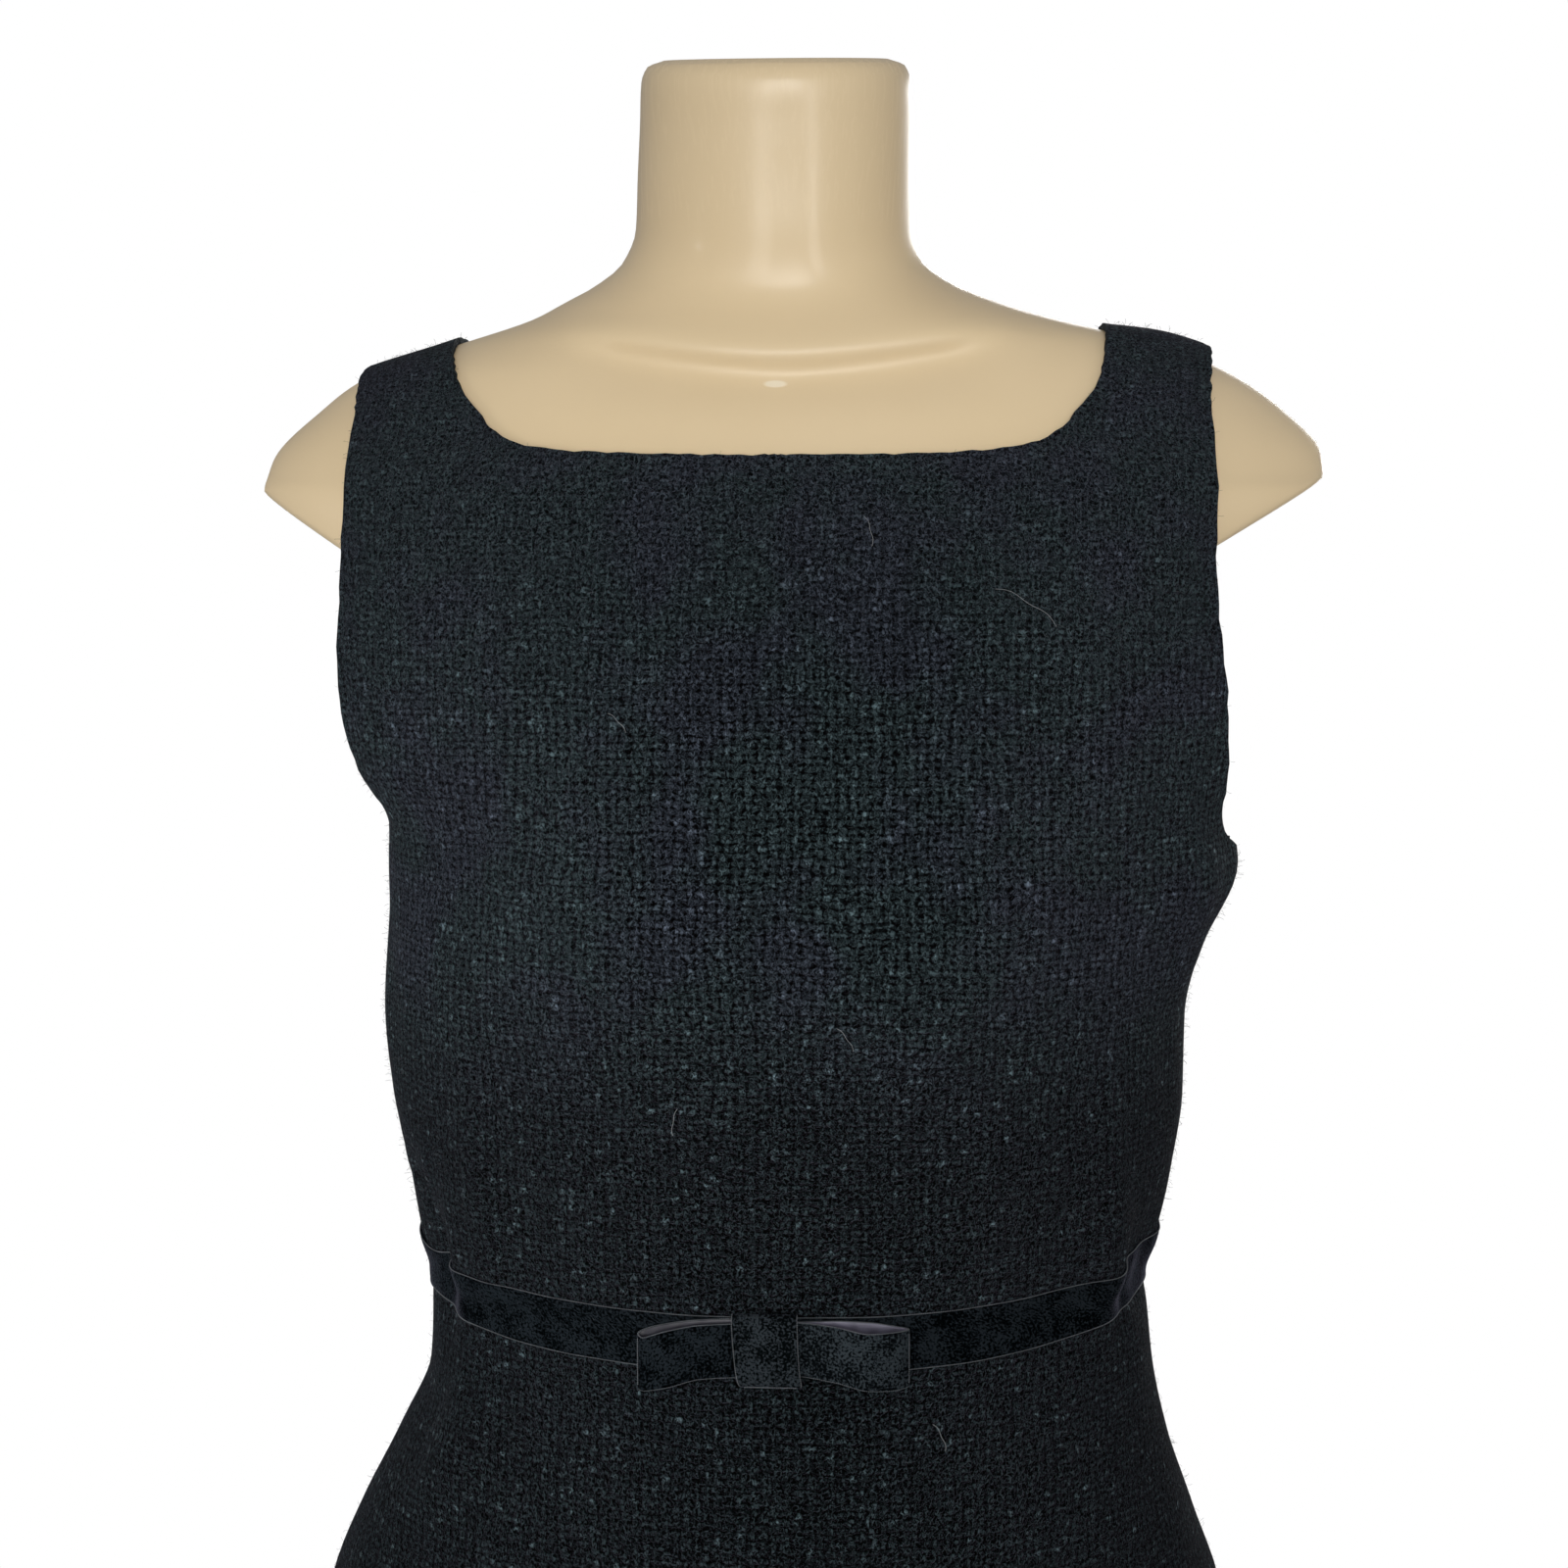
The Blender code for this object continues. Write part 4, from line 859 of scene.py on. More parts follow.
def dent_height(x, z, dent):
    """A straight dent or ridge between two points of the bow's face."""
    run = np.array([dent.x_end - dent.x_start, dent.z_end - dent.z_start])
    length = np.hypot(*run)
    along = ((x - dent.x_start) * run[0] + (z - dent.z_start) * run[1]) / length**2
    aside = ((x - dent.x_start) * run[1] - (z - dent.z_start) * run[0]) / length
    beyond = np.maximum(np.abs(along - 0.5) - 0.5, 0) * length
    return dent.height * np.exp(-((aside / dent.width) ** 2) - (beyond / dent.width) ** 2)


def make_tab(velvet, satin):
    """The tab round the middle of the bow, with its selvedge lines."""
    s = np.linspace(len(TAB) - 1, 0, 61)[:, None]
    across = np.linspace(0, 1, 13)[None, :]
    at = row_values(TAB, s)
    x = BOW_X + mix(at["left"], at["right"], across)
    face = ribbon_face_y(np.array(BOW_X), np.array(WAIST_FRONT_Z))
    middle = np.exp(-(((s - 4) / 2.2) ** 2))
    y = face - at["out"] + 0 * across
    for dent in TAB_DENTS:
        y = y - middle * dent_height(x, at["z"], dent)
    points = np.stack([x, y, at["z"] + 0 * across], -1)
    run = run_length(points, [0, 1, 2], 0)
    pattern = Pattern()
    pattern.add_grid(points, np.stack([(across - 0.5) * TAB_CLOTH_WIDTH + 0 * run, run], -1), True)
    fold = int(np.argmin(at["z"]))
    low_line = points[fold + 4, 1:-1] + [0, -0.35, -0.25]
    return pattern.make("velvet_bow_tab", [velvet, satin]), [points[:, 0], points[:, -1], low_line]


# Zip


def zip_frame():
    """Where the slider sits: a frame on the centre back seam, with its Y out of the cloth."""
    top = BACK_NECKLINE.bottom_z
    cell = (top - WAIST_BACK_Z - RIBBON_WIDTH / 2) / (BODY_ROWS - 1)
    above = Vector(DRESS.at(180.0, top))
    up = (above - Vector(DRESS.at(180.0, top - cell))).normalized()
    middle = above - up * (SLIDER_TOP_BELOW_EDGE + SLIDER_SIZE[2] / 2)
    tilt = math.atan2(-up.y, up.z)
    return Matrix.Translation(middle * MM) @ Matrix.Rotation(tilt, 4, "X")


def add_outline_plate(bm, outline, y_low, y_high):
    """A flat plate between two levels in Y, with an outline in X and Z."""
    rings = [[bm.verts.new(Vector((x, y, z)) * MM) for x, z in outline] for y in (y_low, y_high)]
    bm.faces.new(rings[0])
    bm.faces.new(rings[1][::-1])
    for k in range(len(outline)):
        after = (k + 1) % len(outline)
        bm.faces.new([rings[0][after], rings[0][k], rings[1][k], rings[1][after]])


def finish_bmesh(name, bm, place, material, round_by):
    """A mesh built about its own middle, set in its place with its edges rounded."""
    bmesh.ops.transform(bm, matrix=place, verts=bm.verts)
    bmesh.ops.recalc_face_normals(bm, faces=bm.faces)
    mesh = bpy.data.meshes.new(name)
    bm.to_mesh(mesh)
    bm.free()
    mesh.materials.append(material)
    mesh.shade_smooth()
    obj = link_object(name, mesh)
    round_edges(obj, "Soft edge", round_by, 3, 28)
    return obj


def make_zip(enamel):
    """The slider with its two lugs, and the pull tab between them."""
    place = zip_frame()
    wide, thick, tall = SLIDER_SIZE
    face = SLIDER_GAP + thick
    pin_z = tall / 2 - LUG_SIZE[2] / 2
    bm = bmesh.new()
    body = [(-wide / 2, tall / 2), (wide / 2, tall / 2), (wide / 2, -tall * 0.1), (wide * 0.36, -tall / 2)]
    body += [(-wide * 0.36, -tall / 2), (-wide / 2, -tall * 0.1)]
    add_outline_plate(bm, body, SLIDER_GAP, face)
    low, high = pin_z - LUG_SIZE[2] / 2, pin_z + LUG_SIZE[2] / 2
    for way in (-1, 1):
        inside, outside = way * LUG_X - LUG_SIZE[0] / 2, way * LUG_X + LUG_SIZE[0] / 2
        lug = [(inside, low), (outside, low), (outside, high), (inside, high)]
        add_outline_plate(bm, lug, face - LUG_SUNK, face + LUG_SIZE[1] - 2 * LUG_SUNK)
    slider = finish_bmesh("enamelled_zip_slider", bm, place, enamel, SLIDER_ROUND)

    half, neck, long = TAB_WIDTH / 2, TAB_NECK_WIDTH / 2, TAB_LENGTH
    outline = [(-neck, 0.7), (neck, 0.7), (neck, -3.0), (half, -long * 0.62), (half, -long * 0.86)]
    outline += [(half * 0.64, -long), (-half * 0.64, -long), (-half, -long * 0.86), (-half, -long * 0.62)]
    outline += [(-neck, -3.0)]
    bm = bmesh.new()
    add_outline_plate(bm, outline, -TAB_THICK / 2, TAB_THICK / 2)
    offset = Matrix.Translation(Vector((0, face + PIN_OUT, pin_z)) * MM)
    tab = finish_bmesh("enamelled_pull_tab", bm, place @ offset, enamel, TAB_ROUND)
    return slider, tab


# Form and stand


def arm_limit(side, z):
    """The widest the form may be at a height, past the slanted ends of its arms."""
    tip = np.where(side < 0, ARM_TIP_Z[-1], ARM_TIP_Z[1])
    slant = math.tan(math.radians(ARM_FACE_DEGREES))
    cut = np.maximum(ARM_TIP_X - (tip - z) / slant, ARMPIT_X + 4)
    return np.where(z >= tip, ARM_TIP_X, cut)


def collar_bones(points):
    """The soft step under the collar bones: how far it stands forward above its line and lies back below it."""
    x, y, z = np.moveaxis(points, -1, 0)
    up = z - (COLLAR_BONE_Z + COLLAR_BONE_CLIMB * (np.abs(x) / COLLAR_BONE_X) ** 1.6)
    step = COLLAR_BONE_STEP * np.tanh(up / COLLAR_BONE_SHARP) * np.exp(-((up / COLLAR_BONE_TALL) ** 2))
    return np.where(y < 0, step * (1 - ease((np.abs(x) - COLLAR_BONE_END) / COLLAR_BONE_FADE)), 0.0)


def make_form(plastic):
    """The form: its rings, softened where the shoulders meet the neck, with cut arms and closed ends."""
    turn = np.linspace(0, 360, FORM_FINE_COLUMNS + 1)[None, :]
    turn = np.where(turn > 180, turn - 360, turn)
    z = np.unique(np.concatenate([np.arange(730, 1320, 8.0), np.arange(1320, 1446, 1.8),
                                  np.arange(1446, 1533, 3.5), [ring.z for ring in FORM_RINGS if ring.z > 1530],
                                  [1536, 1538, 1541, 1542]]))[:, None]
    points = FORM.at(turn, z)
    points += FORM.normal(points) * FORM.swell(points)[..., None]
    near = np.exp(-(((z - z.T) / SOFT_OVER) ** 2)) * np.gradient(z[:, 0])
    soft = ease((z - SOFT_BAND[0]) / SOFT_EASE) * ease((SOFT_BAND[1] - z) / SOFT_EASE)
    for axis, level in ((1, 0.0), (2, z)):
        smooth = near @ (points[..., axis] - level) / near.sum(axis=1, keepdims=True) + level
        points[..., axis] = mix(points[..., axis], smooth, soft)
    points[..., 1] -= collar_bones(points)
    side = np.where(points[..., 0] < 0, -1.0, 1.0)
    limit = arm_limit(side, z) - ARM_FACE_ROUND
    over = np.maximum(np.abs(points[..., 0]) - limit, 0)
    pulled = side * (limit + ARM_FACE_ROUND * (1 - np.exp(-over / ARM_FACE_ROUND)))
    points[..., 0] = np.where(over > 0, pulled, points[..., 0])
    foot, cap = points[:1].mean(axis=1, keepdims=True), points[-1:].mean(axis=1, keepdims=True)
    caps_low = [foot + (points[:1] - foot) * share for share in (0.0, 0.5, 0.97)]
    caps_high = [cap + (points[-1:] - cap) * share for share in (0.97, 0.5, 0.0)]
    points = np.concatenate(caps_low + [points] + caps_high)
    points[:, -1] = points[:, 0]
    flat = np.stack([np.broadcast_to(turn * 2.0, points.shape[:2]), points[..., 2]], -1)
    pattern = Pattern()
    pattern.add_grid(points, flat, True)
    return pattern.make("dress_form", [plastic])


def make_turned(name, profile, material):
    """A turned piece from (radius, z) points that run up its outside from the axis to the axis."""
    turn = np.linspace(0, math.tau, 97)[None, :]
    radius, z = (np.array(column, float)[:, None] for column in zip(*profile))
    points = np.stack([radius * np.cos(turn), radius * np.sin(turn), z + 0 * turn], -1)
    points[:, -1] = points[:, 0]
    pattern = Pattern()
    pattern.add_grid(points, points[..., :2], True)
    obj = pattern.make(name, [material])
    round_edges(obj, "Turned edge", 0.8, 2, 28)
    return obj


def make_stand(steel):
    """The pole, with its collar below and its flange above, and the round base."""
    top, foot = FORM_RINGS[0].z - SEAM_GAP, BASE_HEIGHT + SEAM_GAP
    pole = ((0, foot), (COLLAR_RADIUS, foot), (COLLAR_RADIUS, foot + COLLAR_HEIGHT - 8),
            (COLLAR_RADIUS - 1.6, foot + COLLAR_HEIGHT - 3), (COLLAR_RADIUS - 6, foot + COLLAR_HEIGHT),
            (POLE_RADIUS, foot + COLLAR_HEIGHT + 6), (POLE_RADIUS, top - FLANGE_HEIGHT),
            (FLANGE_RADIUS, top - FLANGE_HEIGHT), (FLANGE_RADIUS, top), (0, top))
    base = ((0, 0), (BASE_RADIUS - 1, 0), (BASE_RADIUS, 1), (BASE_RADIUS, BASE_HEIGHT - BASE_EDGE),
            (BASE_RADIUS - 0.3 * BASE_EDGE, BASE_HEIGHT - 0.3 * BASE_EDGE),
            (BASE_RADIUS - BASE_EDGE, BASE_HEIGHT), (0, BASE_HEIGHT))
    return make_turned("steel_pole", pole, steel), make_turned("steel_base", base, steel)


# Node trees

COORDS, CLOTH_MAP, MAPPING = "ShaderNodeTexCoord", "ShaderNodeUVMap", "ShaderNodeMapping"
NOISE, RANGE, MIX, BUMP = "ShaderNodeTexNoise", "ShaderNodeMapRange", "ShaderNodeMix", "ShaderNodeBump"
MATH, VECTOR, SPLIT, JOIN = "ShaderNodeMath", "ShaderNodeVectorMath", "ShaderNodeSeparateXYZ", "ShaderNodeCombineXYZ"


def srgb(hex_code):
    parts = [int(hex_code[k : k + 2], 16) / 255 for k in (1, 3, 5)]
    linear = [p / 12.92 if p <= 0.04045 else ((p + 0.055) / 1.055) ** 2.4 for p in parts]
    return (*linear, 1.0)


def fill(tree, node, inputs):
    """Sets a node's inputs to values, or links them to sockets or to other nodes' first outputs."""
    for key, value in inputs.items():
        if isinstance(value, bpy.types.Node):
            value = value.outputs[0]
        if isinstance(value, bpy.types.NodeSocket):
            tree.links.new(value, node.inputs[key])
        else:
            node.inputs[key].default_value = value


def add(tree, kind, inputs=None, **settings):
    """Adds a node with its own settings, and with its inputs filled."""
    made = tree.nodes.new(kind)
    for name, value in settings.items():
        setattr(made, name, value)
    fill(tree, made, inputs or {})
    return made


def new_material(name, **finish):
    material = bpy.data.materials.new(name)
    material.use_nodes = True
    shader = material.node_tree.nodes["Principled BSDF"]
    fill(material.node_tree, shader, {key.replace("_", " "): value for key, value in finish.items()})
    return material, material.node_tree, shader


def two_tone(name, low, high, spacing, detail, spread=None, **finish):
    """A material that drifts between two tones, with a spacing in mm."""
    material, tree, shader = new_material(name, **finish)
    place = add(tree, COORDS)
    tone = add(tree, NOISE, {"Vector": place.outputs["Object"], "Scale": 1000 / spacing, "Detail": detail})
    if spread:
        tone = add(tree, RANGE, {"Value": tone, "From Min": spread[0], "From Max": spread[1]})
    colour = add(tree, MIX, {0: tone, 6: srgb(low), 7: srgb(high)}, data_type="RGBA")
    fill(tree, shader, {"Base Color": colour.outputs[2]})
    return material


def boucle_cloth():
    """Basket weave of thick soft bouclé yarns: rounded cells, gaps at their corners darkened with painted shade, and
    bright slub knots.
    """
    material, tree, shader = new_material(
        "boucle_basket_weave", Roughness=0.8, Specular_IOR_Level=0.015,
        Sheen_Weight=0.08, Sheen_Roughness=0.22, Sheen_Tint=srgb("#BDB9D0"))
    flat = add(tree, CLOTH_MAP, uv_map="cloth_m")
    # Yarns wander slowly, and shake by less over a few mm
    slow = add(tree, NOISE, {"Vector": flat, "Scale": 1000 / WANDER_SPACING, "Detail": 1.0, "Roughness": 0.4},
               noise_dimensions="2D")
    quick = add(tree, NOISE, {"Vector": flat, "Scale": 1000 / SHAKE_SPACING, "Detail": 1.0}, noise_dimensions="2D")
    shift = (-WANDER / 2, -WANDER / 2, 0)
    for noise, cells in ((slow, WANDER), (quick, SHAKE)):
        shift = add(tree, VECTOR, {0: noise.outputs["Color"], 1: (cells, cells, 0), 2: shift},
                    operation="MULTIPLY_ADD")
    count = add(tree, VECTOR, {0: flat, 1: (1000 / WARP_SPACING, 1000 / WEFT_SPACING, 1)}, operation="MULTIPLY")
    count = add(tree, VECTOR, {0: count, 1: shift}, operation="ADD")
    whole, share = (add(tree, VECTOR, {0: count}, operation=kind) for kind in ("FLOOR", "FRACTION"))
    share = add(tree, VECTOR, {0: share, 1: (0.5, 0.5, 0)}, operation="SUBTRACT")
    cell, spot = add(tree, SPLIT, {0: whole}), add(tree, SPLIT, {0: share})
    chance = add(tree, "ShaderNodeTexWhiteNoise", {"Vector": whole}, noise_dimensions="3D")
    cell_sum = add(tree, MATH, {0: cell.outputs[0], 1: cell.outputs[1]}, operation="ADD")
    weft_over = add(tree, MATH, {0: cell_sum, 1: 2.0}, operation="FLOORED_MODULO")
    # Across and along the yarn that is on top in this cell, each from -0.5 to 0.5
    across, along = (add(tree, MIX, {0: weft_over, 2: spot.outputs[k], 3: spot.outputs[1 - k]}, data_type="FLOAT")
                     for k in (0, 1))
    # From the cell's middle to its edge, each from 0 to 1
    far_x, far_y = (add(tree, MATH, {0: add(tree, MATH, {0: spot.outputs[k]}, operation="ABSOLUTE"), 1: 2.0},
                        operation="MULTIPLY") for k in (0, 1))
    # Plies of the yarn, three or so side by side, drawn out along it, and other ones in each cell
    plies = add(tree, JOIN, {
        k: add(tree, MATH, {0: value, 1: scale}, operation="MULTIPLY")
        for k, (value, scale) in enumerate(((across, 3.4), (along, 1.6), (chance, 60.0)))})
    ply = add(tree, NOISE, {"Vector": plies, "Scale": 1.0, "Detail": 2.0, "Roughness": 0.6})
    ply = add(tree, RANGE, {"Value": ply, "From Min": 0.32, "From Max": 0.68})
    # Curled fibres, far finer in the real cloth, drawn so far apart that they show
    drawn = add(tree, MAPPING, {"Vector": flat, "Scale": (1000 / FIBRE_SPACING[0], 1000 / FIBRE_SPACING[1], 1)})
    fibre = add(tree, NOISE, {"Vector": drawn, "Scale": 1.0, "Detail": 1.0, "Roughness": 0.6, "Distortion": 0.8},
                noise_dimensions="2D")
    fibre = add(tree, RANGE, {"Value": fibre, "From Min": 0.36, "From Max": 0.66})
    fibre = add(tree, MATH, {0: fibre, 1: 1.4}, operation="POWER")
    # Gaps: a hole where four cells meet, and broken grooves between the columns and between the rows. Their depth also
    # paints shade into the colour below
    corner = add(tree, MATH, {0: far_x, 1: far_y}, operation="MULTIPLY")
    hole = add(tree, RANGE, {"Value": corner, "From Min": 0.38, "From Max": 0.82}, interpolation_type="SMOOTHSTEP")
    height = add(tree, MATH, {0: hole, 1: -HOLE_DEPTH, 2: 1.0}, operation="MULTIPLY_ADD")
    for far, seed, depth in ((far_x, 0.0, COLUMN_GROOVE), (far_y, 7.0, ROW_GROOVE)):
        shifted = add(tree, VECTOR, {0: flat, 1: (seed, seed, 0)}, operation="ADD")
        broken = add(tree, NOISE, {"Vector": shifted, "Scale": 1000 / GROOVE_BREAK, "Detail": 1.0},
                     noise_dimensions="2D")
        broken = add(tree, RANGE, {"Value": broken, "From Min": 0.36, "From Max": 0.62, "To Min": 0.12,
                                   "To Max": 1.0})
        groove = add(tree, MATH, {0: far, 1: 3.0}, operation="POWER")
        groove = add(tree, MATH, {0: groove, 1: broken}, operation="MULTIPLY")
        height = add(tree, MATH, {0: groove, 1: -depth, 2: height}, operation="MULTIPLY_ADD")
    height = add(tree, MATH, {0: height, 1: 0.02}, operation="MAXIMUM")
    # The cloth is pressed closer over the chest. Below the bust its yarns are drawn darker, with painted shade, and
    # with more contrast
    place = add(tree, COORDS)
    upward = add(tree, SPLIT, {0: place.outputs["Object"]}).outputs[2]
    below_chest = add(tree, RANGE, {"Value": upward, "From Min": CHEST_BAND[0], "From Max": CHEST_BAND[1],
                                    "To Min": 0.45, "To Max": 1.0})
    height = add(tree, MIX, {0: below_chest, 2: PRESSED_HEIGHT, 3: height}, data_type="FLOAT")
    below_bust = add(tree, RANGE, {"Value": upward, "From Min": BUST_BAND[0], "From Max": BUST_BAND[1]},
                     interpolation_type="SMOOTHSTEP")
    texture = 0.0
    for strands, weight in ((ply, 0.55), (fibre, 3.0)):
        texture = add(tree, MATH, {0: strands, 1: weight, 2: texture}, operation="MULTIPLY_ADD")
    # Slub knots: some cells stand out, brighter, rounder and shinier, and fewer of them on the chest
    slub = add(tree, RANGE, {"Value": chance, "From Min": 1 - SLUB_SHARE, "From Max": 1.0})
    slub = add(tree, MATH, {0: slub, 1: below_chest}, operation="MULTIPLY")
    reach = add(tree, VECTOR, {0: share, 1: (1.3, 0.92, 0)}, operation="MULTIPLY")
    reach = add(tree, VECTOR, {0: reach}, operation="LENGTH")
    knot = add(tree, RANGE, {"Value": reach.outputs["Value"], "From Min": 0.52, "From Max": 0.14},
               interpolation_type="SMOOTHSTEP")
    knot = add(tree, MATH, {0: slub, 1: knot}, operation="MULTIPLY")
    # Dye: patches with a breath of violet above the waist, and lighter and darker cells
    patch = add(tree, NOISE, {"Vector": flat, "Scale": 1000 / PATCH_SPACING, "Detail": 3.0, "Roughness": 0.6},
                noise_dimensions="2D")
    violet = add(tree, RANGE, {"Value": patch, "From Min": 0.45, "From Max": 0.62})
    few = add(tree, RANGE, {"Value": below_bust, "To Min": 1.0, "To Max": 0.15})
    violet = add(tree, MATH, {0: violet, 1: few}, operation="MULTIPLY")
    yarn = add(tree, MIX, {0: violet, 6: srgb("#1E2628"), 7: srgb("#20242A")}, data_type="RGBA")
    lit = add(tree, MATH, {0: knot, 1: 1.3, 2: 1.0}, operation="MULTIPLY_ADD")
    crisp = add(tree, RANGE, {"Value": below_bust, "To Min": 1.0, "To Max": 1.55})
    # Painted shade: the yarns are drawn darker below the bust
    yarn_depth_and_painted_shade = add(tree, RANGE, {"Value": below_bust, "To Min": CLOTH_DEPTH, "To Max": CLOTH_DEPTH * BELOW_BUST_PAINTED_SHADE})
    shade = add(tree, RANGE, {"Value": chance, "To Min": 0.86, "To Max": 1.1})
    # The yarns' height darkens the colour in the holes and grooves: painted shade
    for factor, operation in ((height, "MULTIPLY"), (texture, "MULTIPLY"), (lit, "MULTIPLY"), (crisp, "POWER"),
                              (yarn_depth_and_painted_shade, "MULTIPLY")):
        shade = add(tree, MATH, {0: shade, 1: factor}, operation=operation)
    colour = add(tree, VECTOR, {0: yarn.outputs[2], "Scale": shade}, operation="SCALE")
    gloss = add(tree, RANGE, {"Value": knot, "To Min": 0.8, "To Max": 0.5})
    relief = height
    for rise in (texture, knot):
        relief = add(tree, MATH, {0: rise, 1: 0.5, 2: relief}, operation="MULTIPLY_ADD")
    bump = add(tree, BUMP, {"Height": relief, "Distance": 0.001, "Strength": 0.9})
    fill(tree, shader, {"Base Color": colour, "Roughness": gloss, "Normal": bump})
    return material


def black_lining():
    """Acetate lining: smooth, slightly shiny and near black, with its threads drawn so coarse that they show."""
    material, tree, shader = new_material("acetate_lining", Roughness=0.45, Specular_IOR_Level=0.4)
    flat = add(tree, CLOTH_MAP, uv_map="cloth_m")
    stretched = add(tree, MAPPING, {"Vector": flat, "Scale": (1000 / 0.8, 1000 / 4, 1)})
    threads = add(tree, NOISE, {"Vector": stretched, "Scale": 1.0, "Detail": 2.0}, noise_dimensions="2D")
    colour = add(tree, MIX, {0: threads, 6: srgb("#14161A"), 7: srgb("#22252A")}, data_type="RGBA")
    bump = add(tree, BUMP, {"Height": threads, "Distance": 0.0001, "Strength": 0.4})
    fill(tree, shader, {"Base Color": colour.outputs[2], "Normal": bump})
    return material


def ribbon_velvet(name, deep, brushed):
    """Short cut pile: nearly black seen straight on, paler at a slant, with faint patches where it is pressed."""
    material, tree, shader = new_material(
        name, Roughness=0.95, Specular_IOR_Level=0.0,
        Sheen_Weight=0.20, Sheen_Roughness=0.22, Sheen_Tint=srgb("#B9B8D2"))
    flat = add(tree, CLOTH_MAP, uv_map="cloth_m")
    # Tufts of pile, far finer in the real ribbon, drawn 1.1 mm apart so that they show
    pile = add(tree, NOISE, {"Vector": flat, "Scale": 1000 / 1.1, "Detail": 2.0, "Roughness": 0.7},
               noise_dimensions="2D")
    pressed = add(tree, NOISE, {"Vector": flat, "Scale": 1000 / 11, "Detail": 3.0, "Roughness": 0.6,
                                "Distortion": 0.6}, noise_dimensions="2D")
    both = add(tree, MATH, {0: pressed, 1: 0.5, 2: pile}, operation="MULTIPLY_ADD")
    tone = add(tree, RANGE, {"Value": both, "From Min": 0.68, "From Max": 0.85})
    colour = add(tree, MIX, {0: tone, 6: srgb(deep), 7: srgb(brushed)}, data_type="RGBA")
    bump = add(tree, BUMP, {"Height": both, "Distance": 0.0005, "Strength": 0.7})
    fill(tree, shader, {"Base Color": colour.outputs[2], "Normal": bump})
    return material


def satin_reverse(name, dark, light):
    """Back of the ribbon: satin, lavender grey, with cross ribs.

    The ribs are 0.4 mm apart, and drawn 1.3 mm apart so that they show. A wave texture has 20 bands in a unit.
    """
    material, tree, shader = new_material(name, Roughness=0.38, Specular_IOR_Level=0.3,
                                          Sheen_Weight=0.1, Sheen_Tint=srgb("#C9C4D8"))
    flat = add(tree, CLOTH_MAP, uv_map="cloth_m")
    rib = add(tree, "ShaderNodeTexWave", {"Vector": flat, "Scale": 1000 / 1.3 / 20, "Distortion": 1.5, "Detail": 1.0},
              bands_direction="X").outputs["Fac"]
    tone = add(tree, NOISE, {"Vector": flat, "Scale": 1000 / 7, "Detail": 2.0}, noise_dimensions="2D")
    tone = add(tree, MATH, {0: rib, 1: 0.25, 2: tone}, operation="MULTIPLY_ADD")
    colour = add(tree, MIX, {0: tone, 6: srgb(dark), 7: srgb(light)}, data_type="RGBA")
    bump = add(tree, BUMP, {"Height": rib, "Distance": 0.0002, "Strength": 0.5})
    fill(tree, shader, {"Base Color": colour.outputs[2], "Normal": bump})
    return material


def cream_plastic():
    """Moulded ABS: warm cream with a faint orange-peel skin, polished and finely scratched upwards on the neck."""
    material, tree, shader = new_material("moulded_cream_abs", Roughness=0.45, Specular_IOR_Level=0.32, Coat_IOR=1.5)
    place = add(tree, COORDS).outputs["Object"]
    cloud = add(tree, NOISE, {"Vector": place, "Scale": 9.0, "Detail": 3.0})
    colour = add(tree, MIX, {0: cloud, 6: srgb(FORM_CREAM_LOW), 7: srgb(FORM_CREAM_HIGH)}, data_type="RGBA")
    # A pale oval mould mark, low on the front of the neck
    spot = add(tree, VECTOR, {0: place, 1: MOULD_MARK}, operation="SUBTRACT")
    spot = add(tree, VECTOR, {0: spot, 1: tuple(1000 / half for half in MARK_HALF_SIZE)}, operation="MULTIPLY")
    away = add(tree, VECTOR, {0: spot}, operation="LENGTH")
    mark = add(tree, RANGE, {"Value": away.outputs["Value"], "From Min": 1.15, "From Max": 0.8, "To Max": 0.8})
    colour = add(tree, MIX, {0: mark, 6: colour.outputs[2], 7: srgb("#EBDFC8")}, data_type="RGBA")
    # Scratches are drawn 1.8 mm wide so that they show, and tell in the clear coat, which is thin below the neck
    drawn = add(tree, MAPPING, {"Vector": place, "Scale": (1000 / 1.8, 1000 / 1.8, 14)})
    scratch = add(tree, NOISE, {"Vector": drawn, "Scale": 1.0, "Detail": 2.0, "Roughness": 0.7})
    high = add(tree, SPLIT, {0: place}).outputs[2]
    on_neck = add(tree, RANGE, {"Value": high, "From Min": 1.43, "From Max": 1.48})
    polish = add(tree, RANGE, {"Value": on_neck, "To Min": 0.02, "To Max": 0.26})
    scratch = add(tree, MATH, {0: scratch, 1: on_neck}, operation="MULTIPLY")
    gloss = add(tree, RANGE, {"Value": scratch, "To Min": 0.40, "To Max": 0.5})
    streaks = add(tree, RANGE, {"Value": scratch, "From Min": 0.35, "From Max": 0.65, "To Min": 0.10, "To Max": 0.34})
    relief = add(tree, NOISE, {"Vector": place, "Scale": 1000 / 1.6, "Detail": 2.0})
    for rise, weight in ((scratch, 1.6), (mark, 3.0)):
        relief = add(tree, MATH, {0: rise, 1: weight, 2: relief}, operation="MULTIPLY_ADD")
    bump = add(tree, BUMP, {"Height": relief, "Distance": 0.00006, "Strength": 0.5})
    fill(tree, shader, {"Base Color": colour.outputs[2], "Roughness": gloss, "Normal": bump,
                        "Coat Weight": polish, "Coat Roughness": streaks})
    return material


